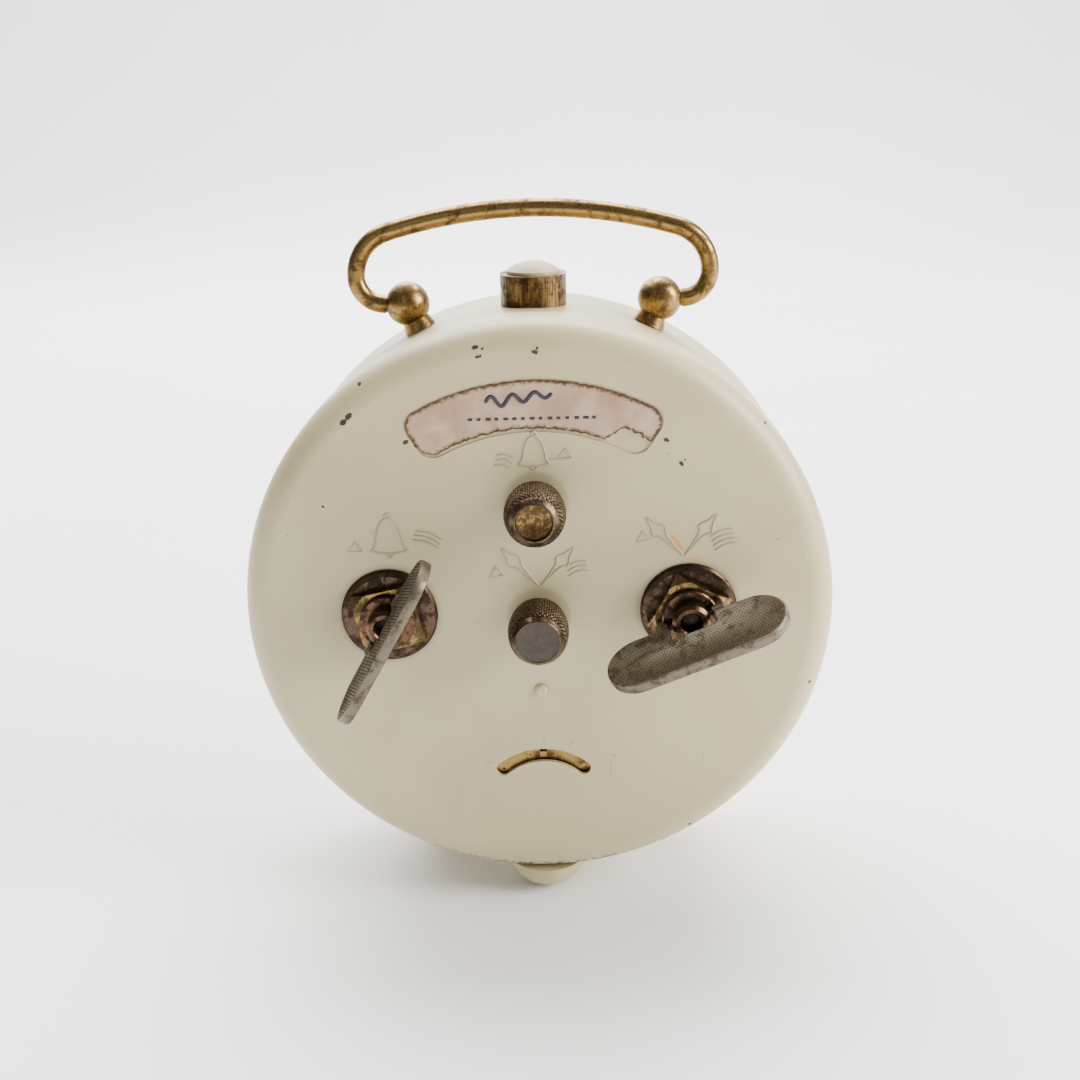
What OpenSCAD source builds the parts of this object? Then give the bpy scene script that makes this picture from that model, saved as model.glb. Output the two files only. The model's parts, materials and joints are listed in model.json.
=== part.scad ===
// Round wind-up alarm clock: enamelled case, swinging handle, alarm button, two folding keys,
// two setting knobs, and the spring-driven time and alarm movement inside.
// Millimetres, +Z up, the dial faces -Y and the keys and knobs point along +Y.
// The origin is on the surface the clock stands on, under the middle of its box.
// Parts are drawn in the case's own frame: x, height above the case axis, and depth in from the
// flat back. Depths under zero stand out behind the back.

/* [Case] */
// Radius of the back cover, the widest part of the case
cover_r = 45; // [44:0.5:47]
// Radius of the flat part of the back
flat_r = 41; // [40:0.5:42]
// Depth of the back cover's side wall
cover_depth = 8; // [7:0.5:9]
// Depth at which the drum ends and the brass bezel begins
drum_front = 31; // [31:0.5:33]
// Thickness of the case's sheet metal
sheet = 0.7; // [0.6:0.05:0.8]
// Height of the case axis above the table
axis_z = 50.5; // [50.5:0.5:52]

/* [Handle and button] */
// Distance of each handle ball from the middle
ball_x = 19.5; // [18:0.5:20]
// Height of the handle balls above the case axis
ball_up = 44.5; // [44.4:0.1:45]
// Radius of the handle balls
ball_r = 3.4; // [3.3:0.1:3.6]
// Radius of the handle's rod
rod_r = 1.4; // [1.2:0.1:1.5]
// Height of the handle rod's middle above the balls
handle_rise = 14.1; // [13.5:0.1:15]
// Depth of the handle and the button in from the back
top_e = 20.5; // [19:0.5:21]
// Travel of the alarm button
button_travel = 1.5; // [1:0.5:1.5]

/* [Keys and knobs] */
// Distance of each winding arbor from the middle
key_x = 22.6; // [22.4:0.1:22.8]
// Height of the winding arbors above the case axis
key_up = 1; // [0.8:0.1:1.6]
// Turn of the time key's wing about its arbor, in degrees
time_key_turn = -21.5; // [-90:0.5:90]
// Fold of the time key's wing away from upright, in degrees
time_key_fold = -15; // [-60:1:60]
// Turn of the alarm key's wing about its arbor, in degrees
alarm_key_turn = -60; // [-90:0.5:90]
// Fold of the alarm key's wing away from upright, in degrees
alarm_key_fold = -4; // [-20:1:20]
// Height of the wing hinge behind the flat back
hinge_out = 4.8; // [4.8:0.1:5]
// Length of a key wing
wing_len = 27.7; // [27:0.1:28.5]
// Height of a key wing from its hinge to its outer edge
wing_h = 10.7; // [10.5:0.1:11]
// Height of the alarm knob above the case axis
alarm_knob_up = 18.2; // [18:0.1:18.4]
// Radius of the setting knobs
knob_r = 4.45; // [4:0.05:4.6]

/* [Movement] */
// Radius of the two movement plates
plate_r = 40.5; // [40:0.25:41]
// Inner face of the back plate, as a depth in from the back
back_plate_e = 8.6; // [8.6:0.1:8.8]
// Back face of the front plate
front_plate_e = 21.5; // [21.5:0.1:21.8]
// Thickness of the back plate and the front plate
plate_t = [1.2, 1.5];
// Depth of the dial's back face
dial_e = 27; // [27:0.1:27.3]

/* [Hidden] */
$fn = 96;

fit_gap = 0.05; // radial gap of a shaft in its hole, and of parts that sit in each other
loose_gap = 0.3; // gap between parts that pass each other
tiny = 0.01;

// Colours
cream = [0.80, 0.77, 0.64];
brass = [0.72, 0.58, 0.30];
bronze = [0.33, 0.25, 0.16];
steel = [0.55, 0.54, 0.50];
paper = [0.80, 0.68, 0.60];

// Case
drum_r = cover_r - sheet - fit_gap;
drum_in = drum_r - sheet;
drum_back = 4.6;
bezel_depth = 4.5;
front_e = drum_front + bezel_depth;
wing_t = 1.6; // thickness of a key wing
bezel_lip_r = 43.7;
bezel_hole_r = 39.5;
bezel_round = 1.6;
bezel_wall = 0.8;
glass_t = 1.5;
glass_dome_r = 400;
glass_front_e = 34.2;
back_y = (front_e - hinge_out - wing_h * cos(alarm_key_fold) - wing_t / 2 * sin(-alarm_key_fold)) / 2;

// Label recess in the back cover
label_r = [29, 37];
label_half = 32.5;
label_corner = 2.6;
label_deep = 0.3;
label_t = 0.12;

// Feet
rear_foot_r = 7;
rear_foot_e = 7.5;
foot_flat = 0.2;
front_foot_x = 17;
front_foot_e = 23;
front_ball_r = 3.2;
foot_shank_r = 1.3;
case_nut = [3.2, 1.5]; // radius over the corners and thickness
nut_gap = 0.2; // from the drum's curved inner face

// Keys
bushing_r = 3;
bushing_flange_r = 4.2;
washer_r = 7.3;
washer_t = 1;
nut_flats = 9.35;
nut_t = 1.7;
nut_turn = [12, -28];
arbor_r = 1.5;
hub_collar_r = 4.2;
hub_tube_r = 2.85;
hub_base_out = washer_t + nut_t + 0.35;
hub_collar_top = hub_base_out + 0.6;
hub_top = 6.2;
trunnion_r = 0.6;
trunnion_x = 4.9;
wing_end_r = 5.1;
notch_half = 3.5;
notch_deep = 3.4;
ear_r = 1;
ear_x = [3.45, 5.4];

// Going train: teeth, modules and places
great_teeth = 72;
centre_pinion_teeth = 12;
great_m = 2 * norm([key_x, key_up]) / (great_teeth + centre_pinion_teeth);
centre_teeth = 64;
third_pinion_teeth = 8;
centre_m = 0.35;
third_teeth = 60;
fourth_pinion_teeth = 8;
third_m = 0.3;
fourth_teeth = 60;
escape_pinion_teeth = 8;
fourth_m = 0.27;
function mesh_distance(a, b, m) = (a + b) * m / 2;
function polar(r, a) = [r * cos(a), r * sin(a)];
third_at = polar(mesh_distance(centre_teeth, third_pinion_teeth, centre_m), -71);
fourth_at = third_at + polar(mesh_distance(third_teeth, fourth_pinion_teeth, third_m), -152);
escape_at = fourth_at + polar(mesh_distance(fourth_teeth, escape_pinion_teeth, fourth_m), -34);
balance_at = [0, -33];
lever_out = 6.6;
lever_line = atan2(balance_at[1] - escape_at[1], balance_at[0] - escape_at[0]);
lever_at = escape_at + polar(lever_out, lever_line);
regulator_slot_r = 9.6;
regulator_slot_w = 2.2;
regulator_slot_half = 48;
escape_r = 4.4;
escape_points = 15;
pivot_r = 0.5;
staff_r = 0.6;

// Levels of the movement, as depths
centre_wheel_e = 9;
great_e = 10.7;
third_e = 12.5;
spring_e = 13.8;
spring_top_e = 20.8;
fourth_e = 14.6;
escape_e = 17;
balance_e = 15.2;
wheel_t = 0.8;
ratchet_e = 9.2;
ratchet_t = 1.1;

// Alarm train
alarm_great_teeth = 66;
hammer_pinion_teeth = 10;
alarm_m = 0.5;
hammer_wheel_at = [key_x, key_up]
    + polar(mesh_distance(alarm_great_teeth, hammer_pinion_teeth, alarm_m), 150);
hammer_at = [10.5, 16.8];
hammer_head = [4.9, -12.1];
stud_up = -12.1;

// Motion work behind the dial
cannon_teeth = 12;
minute_teeth = 36;
minute_pinion_teeth = 10;
hour_teeth = 40;
motion_m = 0.35;
hour_m = motion_m * (cannon_teeth + minute_teeth) / (minute_pinion_teeth + hour_teeth);
minute_at = polar(mesh_distance(cannon_teeth, minute_teeth, motion_m), 205);
alarm_pinion_teeth = 20;
alarm_wheel_teeth = 60;
alarm_set_m = 2 * alarm_knob_up / (alarm_pinion_teeth + alarm_wheel_teeth);
centre_r = 1.25;
centre_front_r = 0.8;
set_arbor_r = 1.1;
cannon_r = 1.3;
hour_tube_r = [1.36, 1.85];
alarm_tube_r = [1.92, 2.5];
dial_hole_r = 3;

// ---- Helpers ----

// The case's own frame: x, height above the axis, depth in from the flat back
module in_case() translate([0, back_y, axis_z]) rotate([90, 0, 0]) children();

// A solid disc or tube along the depth direction, from depth e0 to depth e1
module rod(at, r, e0, e1) translate([at[0], at[1], e0]) cylinder(r = r, h = e1 - e0);

// A revolved profile of [radius, depth] points about the line through a place
module turned(at, points) translate([at[0], at[1], 0]) rotate_extrude() polygon(points);

// Points on a circle, with angles clockwise from straight up; an arc leaves out its first point
function clock(r, a) = [r * sin(a), r * cos(a)];
function arc(centre, r, a0, a1, steps) =
    [for (i = [1:steps]) centre + clock(r, a0 + (a1 - a0) * i / steps)];

// An arc-shaped band about the vertical with rounded corners
module band(r_in, r_out, half, corner) {
    in_half = half - asin(corner / (r_in + corner));
    out_half = half - asin(corner / (r_out - corner));
    right = concat(
        [[0, r_out]],
        arc([0, 0], r_out, 0, out_half, 14),
        arc(clock(r_out - corner, out_half), corner, out_half, half + 90, 7),
        arc(clock(r_in + corner, in_half), corner, half + 90, in_half + 180, 7),
        arc([0, 0], r_in, in_half, 0, 14)
    );
    left = [for (i = [len(right) - 2:-1:1]) [-right[i][0], right[i][1]]];
    polygon(concat(right, left));
}

// Flat outline of a spur wheel; the flanks are involutes thinned for backlash
function flank(r, base, turn, side) =
    let (t = r > base ? sqrt(r * r / (base * base) - 1) : 0, inv = t * 180 / PI - atan(t))
    polar(r, turn + side * inv);
module gear_outline(teeth, m, width = 0.40) {
    pitch = teeth * m / 2;
    base = pitch * cos(20);
    tip = pitch + 0.85 * m;
    root = pitch - 1.15 * m;
    pitch_inv = tan(20) * 180 / PI - 20;
    half = 180 / teeth * width;
    steps = [max(base, root) + tiny, pitch, tip];
    polygon([for (i = [0:teeth - 1]) let (mid = 360 / teeth * i) each concat(
        [polar(root, mid - half - pitch_inv)],
        [for (r = steps) flank(r, base, mid - half - pitch_inv, 1)],
        [for (k = [2:-1:0]) flank(steps[k], base, mid + half + pitch_inv, -1)],
        [polar(root, mid + half + pitch_inv)]
    )]);
}

// A spur wheel at a place and depth, turned so that a tooth points at an angle
module wheel(at, teeth, m, e, t, turn = 0, bore = 0, arms = 0, hub = 0) {
    root = teeth * m / 2 - 1.15 * m;
    rim = root - max(0.8, m * 2);
    translate([at[0], at[1], e]) rotate(turn) linear_extrude(t) difference() {
        gear_outline(teeth, m);
        if (bore > 0) circle(bore);
        if (arms > 0) difference() {
            circle(rim);
            circle(hub);
            for (i = [0:arms - 1]) rotate(360 / arms * i) translate([0, -0.6]) square([rim + 1, 1.2]);
        }
    }
}

// A wheel that meshes with another: the turn that puts a gap where the other has its tooth
function mesh_turn(teeth, line, other_teeth, other_turn) =
    line + 180 + 180 / teeth + (line - other_turn) * other_teeth / teeth;

// Spiral strip with inner radius r0, outer radius r1 and a number of turns
module spiral(r0, r1, turns, strip) {
    steps = turns * 24;
    function at(i, side) = polar(r0 + (r1 - r0) * i / steps + side * strip / 2, 15 * i);
    polygon(concat([for (i = [0:steps]) at(i, 1)], [for (i = [steps:-1:0]) at(i, -1)]));
}

// Saw-toothed ratchet outline
module ratchet_outline(r, teeth, deep) {
    polygon([for (i = [0:teeth - 1])
        each [polar(r, 360 / teeth * i), polar(r - deep, 360 / teeth * (i + 0.12))]]);
}

// A helix of round wire about +Z, as one closed mesh
module coil(r, wire, length, turns) {
    sides = 8;
    per = 20;
    count = turns * per;
    rows = [for (i = [0:count]) let (a = 360 * i / per, z = length * i / count) [
        for (k = [0:sides - 1]) let (b = 360 * k / sides)
            [(r + wire * cos(b)) * cos(a), (r + wire * cos(b)) * sin(a), z + wire * sin(b)]
    ]];
    points = [for (row = rows) each row];
    walls = [for (i = [0:count - 1], k = [0:sides - 1])
        let (n = (k + 1) % sides, p = i * sides, q = p + sides)
        each [[p + k, q + k, p + n], [p + n, q + k, q + n]]];
    first = [for (k = [1:sides - 2]) [0, k, k + 1]];
    last = count * sides;
    end = [for (k = [1:sides - 2]) [last, last + k + 1, last + k]];
    polyhedron(points, concat(walls, first, end));
}

// ---- Case ----

// Pan with a rounded shoulder, the label recess, the slot for the regulator and the arbor holes
module back_cover() color(cream) in_case() difference() {
    rotate_extrude() difference() {
        cover_profile(0);
        cover_profile(sheet);
    }
    translate([0, 0, -tiny]) linear_extrude(label_deep + tiny)
        band(label_r[0], label_r[1], label_half, label_corner);
    translate([0, balance_at[1], -1]) linear_extrude(3)
        band(regulator_slot_r - regulator_slot_w / 2, regulator_slot_r + regulator_slot_w / 2,
            regulator_slot_half, regulator_slot_w / 2);
    for (side = [-1, 1]) rod([side * key_x, key_up], bushing_r + fit_gap, -1, 3);
    rod([0, 0], centre_r + loose_gap, -1, 3);
    rod([0, alarm_knob_up], set_arbor_r + loose_gap, -1, 3);
    rod([0, stud_up], 1.15, -1, 3);
    translate([0, -cover_r + 5, rear_foot_e]) rotate([90, 0, 0]) cylinder(r = foot_shank_r + fit_gap, h = 8);
}
module cover_profile(inset) {
    shoulder = cover_r - flat_r;
    translate([0, inset]) square([flat_r, cover_depth + inset]);
    translate([0, shoulder]) square([cover_r - inset, cover_depth - shoulder + inset * 2]);
    translate([flat_r, shoulder]) circle(shoulder - inset);
}

// Drum with holes for the handle posts, the button and the feet, its front edge rolled in
module case_drum() color(cream) in_case() difference() {
    rotate_extrude() {
        translate([drum_in, drum_back]) square([sheet, drum_front - drum_back]);
    }
    for (side = [-1, 1]) post_frame(side) cylinder(r = foot_shank_r + fit_gap, h = 6, center = true);
    translate([0, drum_r - 4, top_e]) rotate([-90, 0, 0]) cylinder(r = 1.3, h = 8);
    translate([0, -drum_r + 4, rear_foot_e]) rotate([90, 0, 0]) cylinder(r = foot_shank_r + fit_gap, h = 8);
    for (side = [-1, 1]) front_foot_frame(side) cylinder(r = foot_shank_r + fit_gap, h = 6, center = true);
}

// Brass ring that holds the glass, pushed into the drum
module front_bezel() color(brass) in_case() rotate_extrude() {
    inner = drum_in - fit_gap - bezel_wall;
    translate([inner, dial_e + 0.65]) square([bezel_wall, drum_front - dial_e]);
    translate([inner, drum_front + fit_gap])
        square([bezel_lip_r - inner, bezel_depth - bezel_round - fit_gap]);
    for (r = [bezel_hole_r + bezel_round, bezel_lip_r - bezel_round])
        translate([r, front_e - bezel_round]) circle(bezel_round);
    translate([bezel_hole_r + bezel_round, front_e - 2 * bezel_round])
        square([bezel_lip_r - bezel_hole_r - 2 * bezel_round, 2 * bezel_round]);
}

// Slightly domed glass disc
module crystal() color([0.85, 0.9, 0.9, 0.3]) in_case() intersection() {
    rod([0, 0], drum_in - bezel_wall - 2 * fit_gap, dial_e, front_e);
    translate([0, 0, glass_front_e - glass_dome_r]) difference() {
        sphere(r = glass_dome_r, $fn = 200);
        sphere(r = glass_dome_r - glass_t, $fn = 200);
    }
}

// Dial plate with two feet that stand in the front plate
module dial() color([0.86, 0.83, 0.72]) in_case() {
    difference() {
        rod([0, 0], drum_in - fit_gap, dial_e, dial_e + 0.6);
        rod([0, 0], dial_hole_r, dial_e - 1, dial_e + 2);
    }
    for (side = [-1, 1]) rod([side * 30, 0], 0.8, front_plate_e + plate_t[1] - 1, dial_e + 0.1);
}

module paper_label() color(paper) in_case() translate([0, 0, label_deep - label_t]) linear_extrude(label_t)
    band(label_r[0] + 0.15, label_r[1] - 0.15, label_half - 0.3, label_corner - 0.15);

// Dome under the back, with a shank through the cover and the drum
module rear_foot() color(cream) in_case() {
    difference() {
        translate([0, -axis_z + rear_foot_r - foot_flat, rear_foot_e]) sphere(r = rear_foot_r);
        rod([0, 0], cover_r + 0.02, -5, rear_foot_e + 12);
        translate([-10, -axis_z - 5, -5]) cube([20, 5, 30]);
    }
    translate([0, -drum_in + 2.5, rear_foot_e]) rotate([90, 0, 0])
        cylinder(r = foot_shank_r, h = cover_r - drum_in + 3.5);
}

// Frame of a front foot: +Z runs out along the leg from the drum's surface
module front_foot_frame(side) {
    a = asin(front_foot_x / (axis_z - front_ball_r));
    translate([0, 0, front_foot_e]) rotate([0, 0, side * a]) translate([0, -drum_r, 0]) rotate([90, 0, 0])
        children();
}
module front_feet() color(brass) in_case() for (side = [-1, 1]) difference() {
    a = asin(front_foot_x / (axis_z - front_ball_r));
    reach = (axis_z - front_ball_r + foot_flat) / cos(a) - drum_r;
    front_foot_frame(side) {
        translate([0, 0, -sheet - 2.5]) cylinder(r = foot_shank_r, h = 4);
        translate([0, 0, 0.35]) cylinder(r1 = 3, r2 = 1.7, h = reach - 1.5);
        translate([0, 0, reach]) sphere(r = front_ball_r);
    }
    rod([0, 0], drum_r + 0.02, front_foot_e - 1.5, front_foot_e - 1.5);
    translate([-40, -axis_z - 5, 0]) cube([80, 5, 40]);
}
module foot_nuts() color(brass) in_case() {
    for (side = [-1, 1]) front_foot_frame(side) translate([0, 0, -sheet - nut_gap - case_nut[1]])
        hex_ring(foot_shank_r);
    translate([0, -drum_in + nut_gap + case_nut[1], rear_foot_e]) rotate([90, 0, 0]) hex_ring(foot_shank_r);
}
module hex_ring(hole) difference() {
    cylinder(r = case_nut[0], h = case_nut[1], $fn = 6);
    translate([0, 0, -1]) cylinder(r = hole + fit_gap / 2, h = case_nut[1] + 2);
}

// ---- Handle and button ----

// Frame of a handle post: +Z runs out from the drum's surface through the ball
module post_frame(side) {
    a = atan(ball_x / ball_up);
    translate([0, 0, top_e]) rotate([0, 0, -side * a]) translate([0, drum_r, 0])
        rotate([-90, 0, 0]) children();
}
module handle_posts() color(brass) in_case() for (side = [-1, 1]) difference() {
    post_frame(side) {
        translate([0, 0, -sheet - 2.2]) cylinder(r = foot_shank_r, h = 3.4);
        translate([0, 0, 0.12]) cylinder(r1 = 2.6, r2 = 1.9, h = 2.2);
        translate([0, 0, norm([ball_x, ball_up]) - drum_r]) sphere(r = ball_r);
    }
    translate([side * ball_x, ball_up, top_e]) rotate([0, side * 90, 0]) {
        translate([0, 0, -0.6]) cylinder(r = 1.05, h = 6);
    }
}
module post_nuts() color(brass) in_case() for (side = [-1, 1]) post_frame(side)
    translate([0, 0, -sheet - nut_gap - case_nut[1]]) hex_ring(foot_shank_r);

// Closed round tube along a flat path of [x, y, heading] steps
module swept_rod(path, r, sides = 16) {
    points = [for (p = path, k = [0:sides - 1]) let (b = 360 * k / sides)
        [p[0] - r * cos(b) * sin(p[2]), p[1] + r * cos(b) * cos(p[2]), r * sin(b)]];
    last = (len(path) - 1) * sides;
    walls = [for (i = [0:len(path) - 2], k = [0:sides - 1])
        let (n = (k + 1) % sides, p = i * sides, q = p + sides)
        each [[p + k, q + k, p + n], [p + n, q + k, q + n]]];
    ends = [[for (k = [0:sides - 1]) k], [for (k = [sides - 1:-1:0]) last + k]];
    polyhedron(points, concat(walls, ends));
}
// Bail of round rod: two curled ends, corners and a shallow arch, all tangent arcs
handle_side = 27.2;
handle_curl = 4.2;
handle_corner = 7;
handle_reach = handle_side - handle_corner;
handle_drop = handle_rise - handle_curl;
handle_arch = (pow(handle_reach, 2) + pow(handle_drop, 2) - pow(handle_corner, 2))
    / (2 * (handle_drop - handle_corner));
handle_turn = acos(handle_reach / (handle_arch - handle_corner));
function arc_steps(centre, r, a0, a1, count) =
    [for (i = [0:count]) let (a = a0 + (a1 - a0) * i / count)
        [centre[0] + r * cos(a), centre[1] + r * sin(a), a + 90]];
handle_half = concat(
    arc_steps([handle_side - handle_curl, handle_curl], handle_curl, -90, 0, 10),
    [for (p = arc_steps([handle_reach, handle_curl], handle_corner, 0, handle_turn, 9)) if (p[2] > 90) p],
    [for (p = arc_steps([0, handle_rise - handle_arch], handle_arch, handle_turn, 90, 14))
        if (p[2] > handle_turn + 90) p]
);
handle_path = concat(handle_half,
    [for (i = [len(handle_half) - 2:-1:0]) let (p = handle_half[i]) [-p[0], p[1], 360 - p[2]]]);
module handle() color(brass) in_case() translate([0, ball_up, top_e]) {
    swept_rod(handle_path, rod_r);
    for (side = [-1, 1]) translate([side * (ball_x - 0.3), 0, 0]) rotate([0, side * 90, 0])
        cylinder(r = 1, h = handle_side - handle_curl - ball_x + 0.6);
}

module button_collar() color(brass) in_case() difference() {
    translate([0, drum_r - 1.2, top_e]) rotate([-90, 0, 0]) difference() {
        cylinder(r = 5.1, h = 5.8);
        translate([0, 0, -1]) cylinder(r = 4.1, h = 8);
    }
    rod([0, 0], drum_r + 0.02, top_e - 8, top_e + 8);
}
// Domed push button with a stem through the drum
module button() color(cream) in_case() translate([0, 0, top_e]) rotate([-90, 0, 0]) {
    rod([0, 0], 4.04, 47.4, 49.35);
    intersection() {
        translate([0, 0, 49.3 - 5.3]) sphere(r = 6.7);
        rod([0, 0], 4.04, 49.3, 52);
    }
    rod([0, 0], 1.25, drum_in - 1.5, 47.5);
}
module button_spring() color(steel) in_case() translate([0, drum_r + 0.35, top_e]) rotate([-90, 0, 0])
    coil(2.6, 0.25, 47.4 - drum_r - 0.65, 3);
module button_ring() color(steel) in_case() translate([0, 0, top_e]) rotate([-90, 0, 0]) difference() {
    rod([0, 0], 2.1, drum_in - 1.1, drum_in - 0.4);
    rod([0, 0], 1.25 + fit_gap / 2, drum_in - 2, drum_in);
}

// Rivet on the back that the alarm hammer strikes from inside
module sounding_stud() color(cream) in_case() {
    turned([0, stud_up], [[0, -0.75], [0.6, -0.7], [0.95, -0.45], [1.1, -0.1], [1.1, sheet + 0.05],
        [2.2, sheet + 0.05], [2.2, 1.5], [1, 1.5], [1, 6.2], [0, 6.2]]);
}

// ---- Keys ----

// Threaded bushings on the back plate; they carry the cover, the washers and the square nuts
module arbor_bushings() color(brass) in_case() for (side = [-1, 1]) difference() {
    turned([side * key_x, key_up], [[arbor_r + fit_gap, -washer_t - nut_t], [bushing_r, -washer_t - nut_t],
        [bushing_r, sheet + fit_gap], [bushing_flange_r, sheet + fit_gap],
        [bushing_flange_r, back_plate_e - plate_t[0] - 0.02], [2.6, back_plate_e - plate_t[0] - 0.02],
        [2.6, back_plate_e], [arbor_r + fit_gap, back_plate_e]]);
}
// Dished round washers under the nuts
module key_washers() color(bronze) in_case() for (side = [-1, 1])
    turned([side * key_x, key_up], [[bushing_r + fit_gap, -washer_t], [washer_r - 0.9, -washer_t],
        [washer_r - 0.3, -washer_t + 0.25], [washer_r, -0.35], [washer_r, -0.02],
        [bushing_r + fit_gap, -0.02]]);
// Square nuts with bevelled corners
module square_nuts() color(bronze) in_case() for (i = [0, 1]) {
    side = i == 0 ? 1 : -1;
    translate([side * key_x, key_up, -washer_t - nut_t + fit_gap]) rotate(-nut_turn[i]) difference() {
        intersection() {
            translate([-nut_flats / 2, -nut_flats / 2, 0]) cube([nut_flats, nut_flats, nut_t - 0.07]);
            cylinder(r1 = 5.2, r2 = 6.6, h = 1.1);
        }
        translate([0, 0, -1]) cylinder(r = bushing_r + fit_gap / 2, h = nut_t + 2);
    }
    translate([side * key_x, key_up, -washer_t - nut_t + fit_gap + 1.1]) rotate(-nut_turn[i]) difference() {
        intersection() {
            translate([-nut_flats / 2, -nut_flats / 2, 0]) cube([nut_flats, nut_flats, nut_t - 1.17]);
            cylinder(r = 6.6, h = nut_t);
        }
        translate([0, 0, -1]) cylinder(r = bushing_r + fit_gap / 2, h = nut_t + 2);
    }
}

// Key hub: thin collar under an open tube with two trunnions, screwed on the arbor
module hub(side, turn) color(brass) in_case() translate([side * key_x, key_up, 0]) rotate(turn) {
    turned([0, 0], [[arbor_r + 0.02, -hub_base_out], [hub_collar_r - 0.2, -hub_base_out],
        [hub_collar_r, -hub_base_out - 0.2], [hub_collar_r, -hub_collar_top + 0.2],
        [hub_collar_r - 0.2, -hub_collar_top], [hub_tube_r, -hub_collar_top],
        [hub_tube_r, -hub_top + 0.5], [hub_tube_r - 0.5, -hub_top], [arbor_r + 0.25, -hub_top],
        [arbor_r + 0.02, -hub_top + 0.3]]);
    for (s = [-1, 1]) translate([s * (hub_tube_r - 0.6), 0, -hinge_out]) rotate([0, s * 90, 0])
        cylinder(r = trunnion_r, h = trunnion_x - hub_tube_r + 0.6);
}
// Folding wing: a rounded plate notched round the hub, with an ear on each trunnion
module wing(side, turn, fold) color(steel) in_case() translate([side * key_x, key_up, -hinge_out])
    rotate(turn) rotate([fold, 0, 0]) rotate([-90, 0, 0]) difference() {
        union() {
            translate([0, 0, -wing_t / 2]) linear_extrude(wing_t) difference() {
                union() {
                    for (s = [-1, 1]) translate([s * (wing_len / 2 - wing_end_r), wing_h - wing_end_r])
                        circle(wing_end_r);
                    translate([-wing_len / 2 + wing_end_r, wing_h - 2 * wing_end_r])
                        square([wing_len - 2 * wing_end_r, 2 * wing_end_r]);
                }
                translate([-notch_half, -5]) square([2 * notch_half, notch_deep + 5]);
            }
            for (s = [-1, 1]) translate([s * ear_x[0], 0, 0]) rotate([0, s * 90, 0])
                cylinder(r = ear_r, h = ear_x[1] - ear_x[0]);
        }
        for (s = [-1, 1]) translate([s * (ear_x[0] - 1), 0, 0]) rotate([0, s * 90, 0])
            cylinder(r = trunnion_r + fit_gap, h = trunnion_x - ear_x[0] + 1 + 0.1);
    }
module time_hub() hub(-1, time_key_turn);
module time_wing() wing(-1, time_key_turn, time_key_fold);
module alarm_hub() hub(1, alarm_key_turn);
module alarm_wing() wing(1, alarm_key_turn, alarm_key_fold);

// Winding arbor with the core that the mainspring hooks on
module winding_arbor(side) color(steel) in_case() {
    at = [side * key_x, key_up];
    rod(at, arbor_r, -hub_top + 2.2, front_plate_e - 0.3);
    rod(at, 2.6, spring_e - 0.2, front_plate_e - 0.3);
    rod(at, 1, front_plate_e - 0.4, front_plate_e + plate_t[1] + 0.4);
}
module time_arbor() winding_arbor(-1);
module alarm_arbor() winding_arbor(1);

module ratchet(side) color(steel) in_case() translate([side * key_x, key_up, ratchet_e])
    linear_extrude(ratchet_t) difference() {
        rotate(7) ratchet_outline(6, 16, 1);
        circle(arbor_r + 0.02);
    }
module time_ratchet() ratchet(-1);
module alarm_ratchet() ratchet(1);

// Click on the great wheel: a small pawl on its own stud, clear of the ratchet's points
click_turn = [100, 80];
click_at_r = 9.2;
module click(side, turn) color(steel) in_case() translate([side * key_x, key_up, ratchet_e]) rotate(turn)
    linear_extrude(ratchet_t) difference() {
        union() {
            translate([click_at_r, 0]) circle(1.5);
            arm_outline([click_at_r, 0], polar(6.9, -40), 0.6);
        }
        translate([click_at_r, 0]) circle(0.65);
    }
module time_click() click(-1, click_turn[0]);
module alarm_click() click(1, click_turn[1]);

// Great wheel, loose on its arbor, with the stud of its click
module great_wheel(side, teeth, m, turn) color(brass) in_case() {
    at = [side * key_x, key_up];
    wheel(at, teeth, m, great_e, 1.2, turn, arbor_r + fit_gap);
    translate([at[0], at[1], 0]) rotate(click_turn[side > 0 ? 1 : 0])
        rod([click_at_r, 0], 0.6, ratchet_e - 0.1, great_e + 0.1);
}
module time_great_wheel() great_wheel(-1, great_teeth, great_m, atan(-key_up / key_x) - tiny);
module alarm_great_wheel() great_wheel(1, alarm_great_teeth, alarm_m, 150);

module mainspring(side) color(steel) in_case() {
    translate([side * key_x, key_up, spring_e]) linear_extrude(spring_top_e - spring_e)
        spiral(3.1, side < 0 ? 14 : 12.9, 9, 0.35);
}
module time_mainspring() mainspring(-1);
module alarm_mainspring() mainspring(1);

// ---- Plates ----

bearings = [
    [[0, 0], centre_r], [third_at, pivot_r], [fourth_at, pivot_r], [escape_at, pivot_r],
    [balance_at, pivot_r],
    [hammer_wheel_at, pivot_r], [hammer_at, pivot_r], [[0, alarm_knob_up], set_arbor_r],
];
pillar_at = [[13, 34], [-13, 34], [20, -27], [-20, -27]];
module plate(e, t, extra) color(brass) in_case() difference() {
    rod([0, 0], plate_r, e, e + t);
    for (b = bearings) rod(b[0], b[1] + fit_gap, e - 1, e + t + 1);
    for (p = pillar_at) rod(p, 1.2 + fit_gap, e - 1, e + t + 1);
    for (side = [-1, 1]) rod([side * key_x, key_up], extra + fit_gap, e - 1, e + t + 1);
    if (e > 20) {
        for (side = [-1, 1]) rod([side * 30, 0], 0.8 + fit_gap, e - 1, e + t + 1);
        rod(minute_at, 0.8 + fit_gap, e - 1, e + t + 1);
        rod(lever_at, pivot_r + fit_gap, e - 1, e + t + 1);
    }
}
module back_plate() plate(back_plate_e - plate_t[0], plate_t[0], 2.6);
module front_plate() plate(front_plate_e, plate_t[1], 1);
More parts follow.
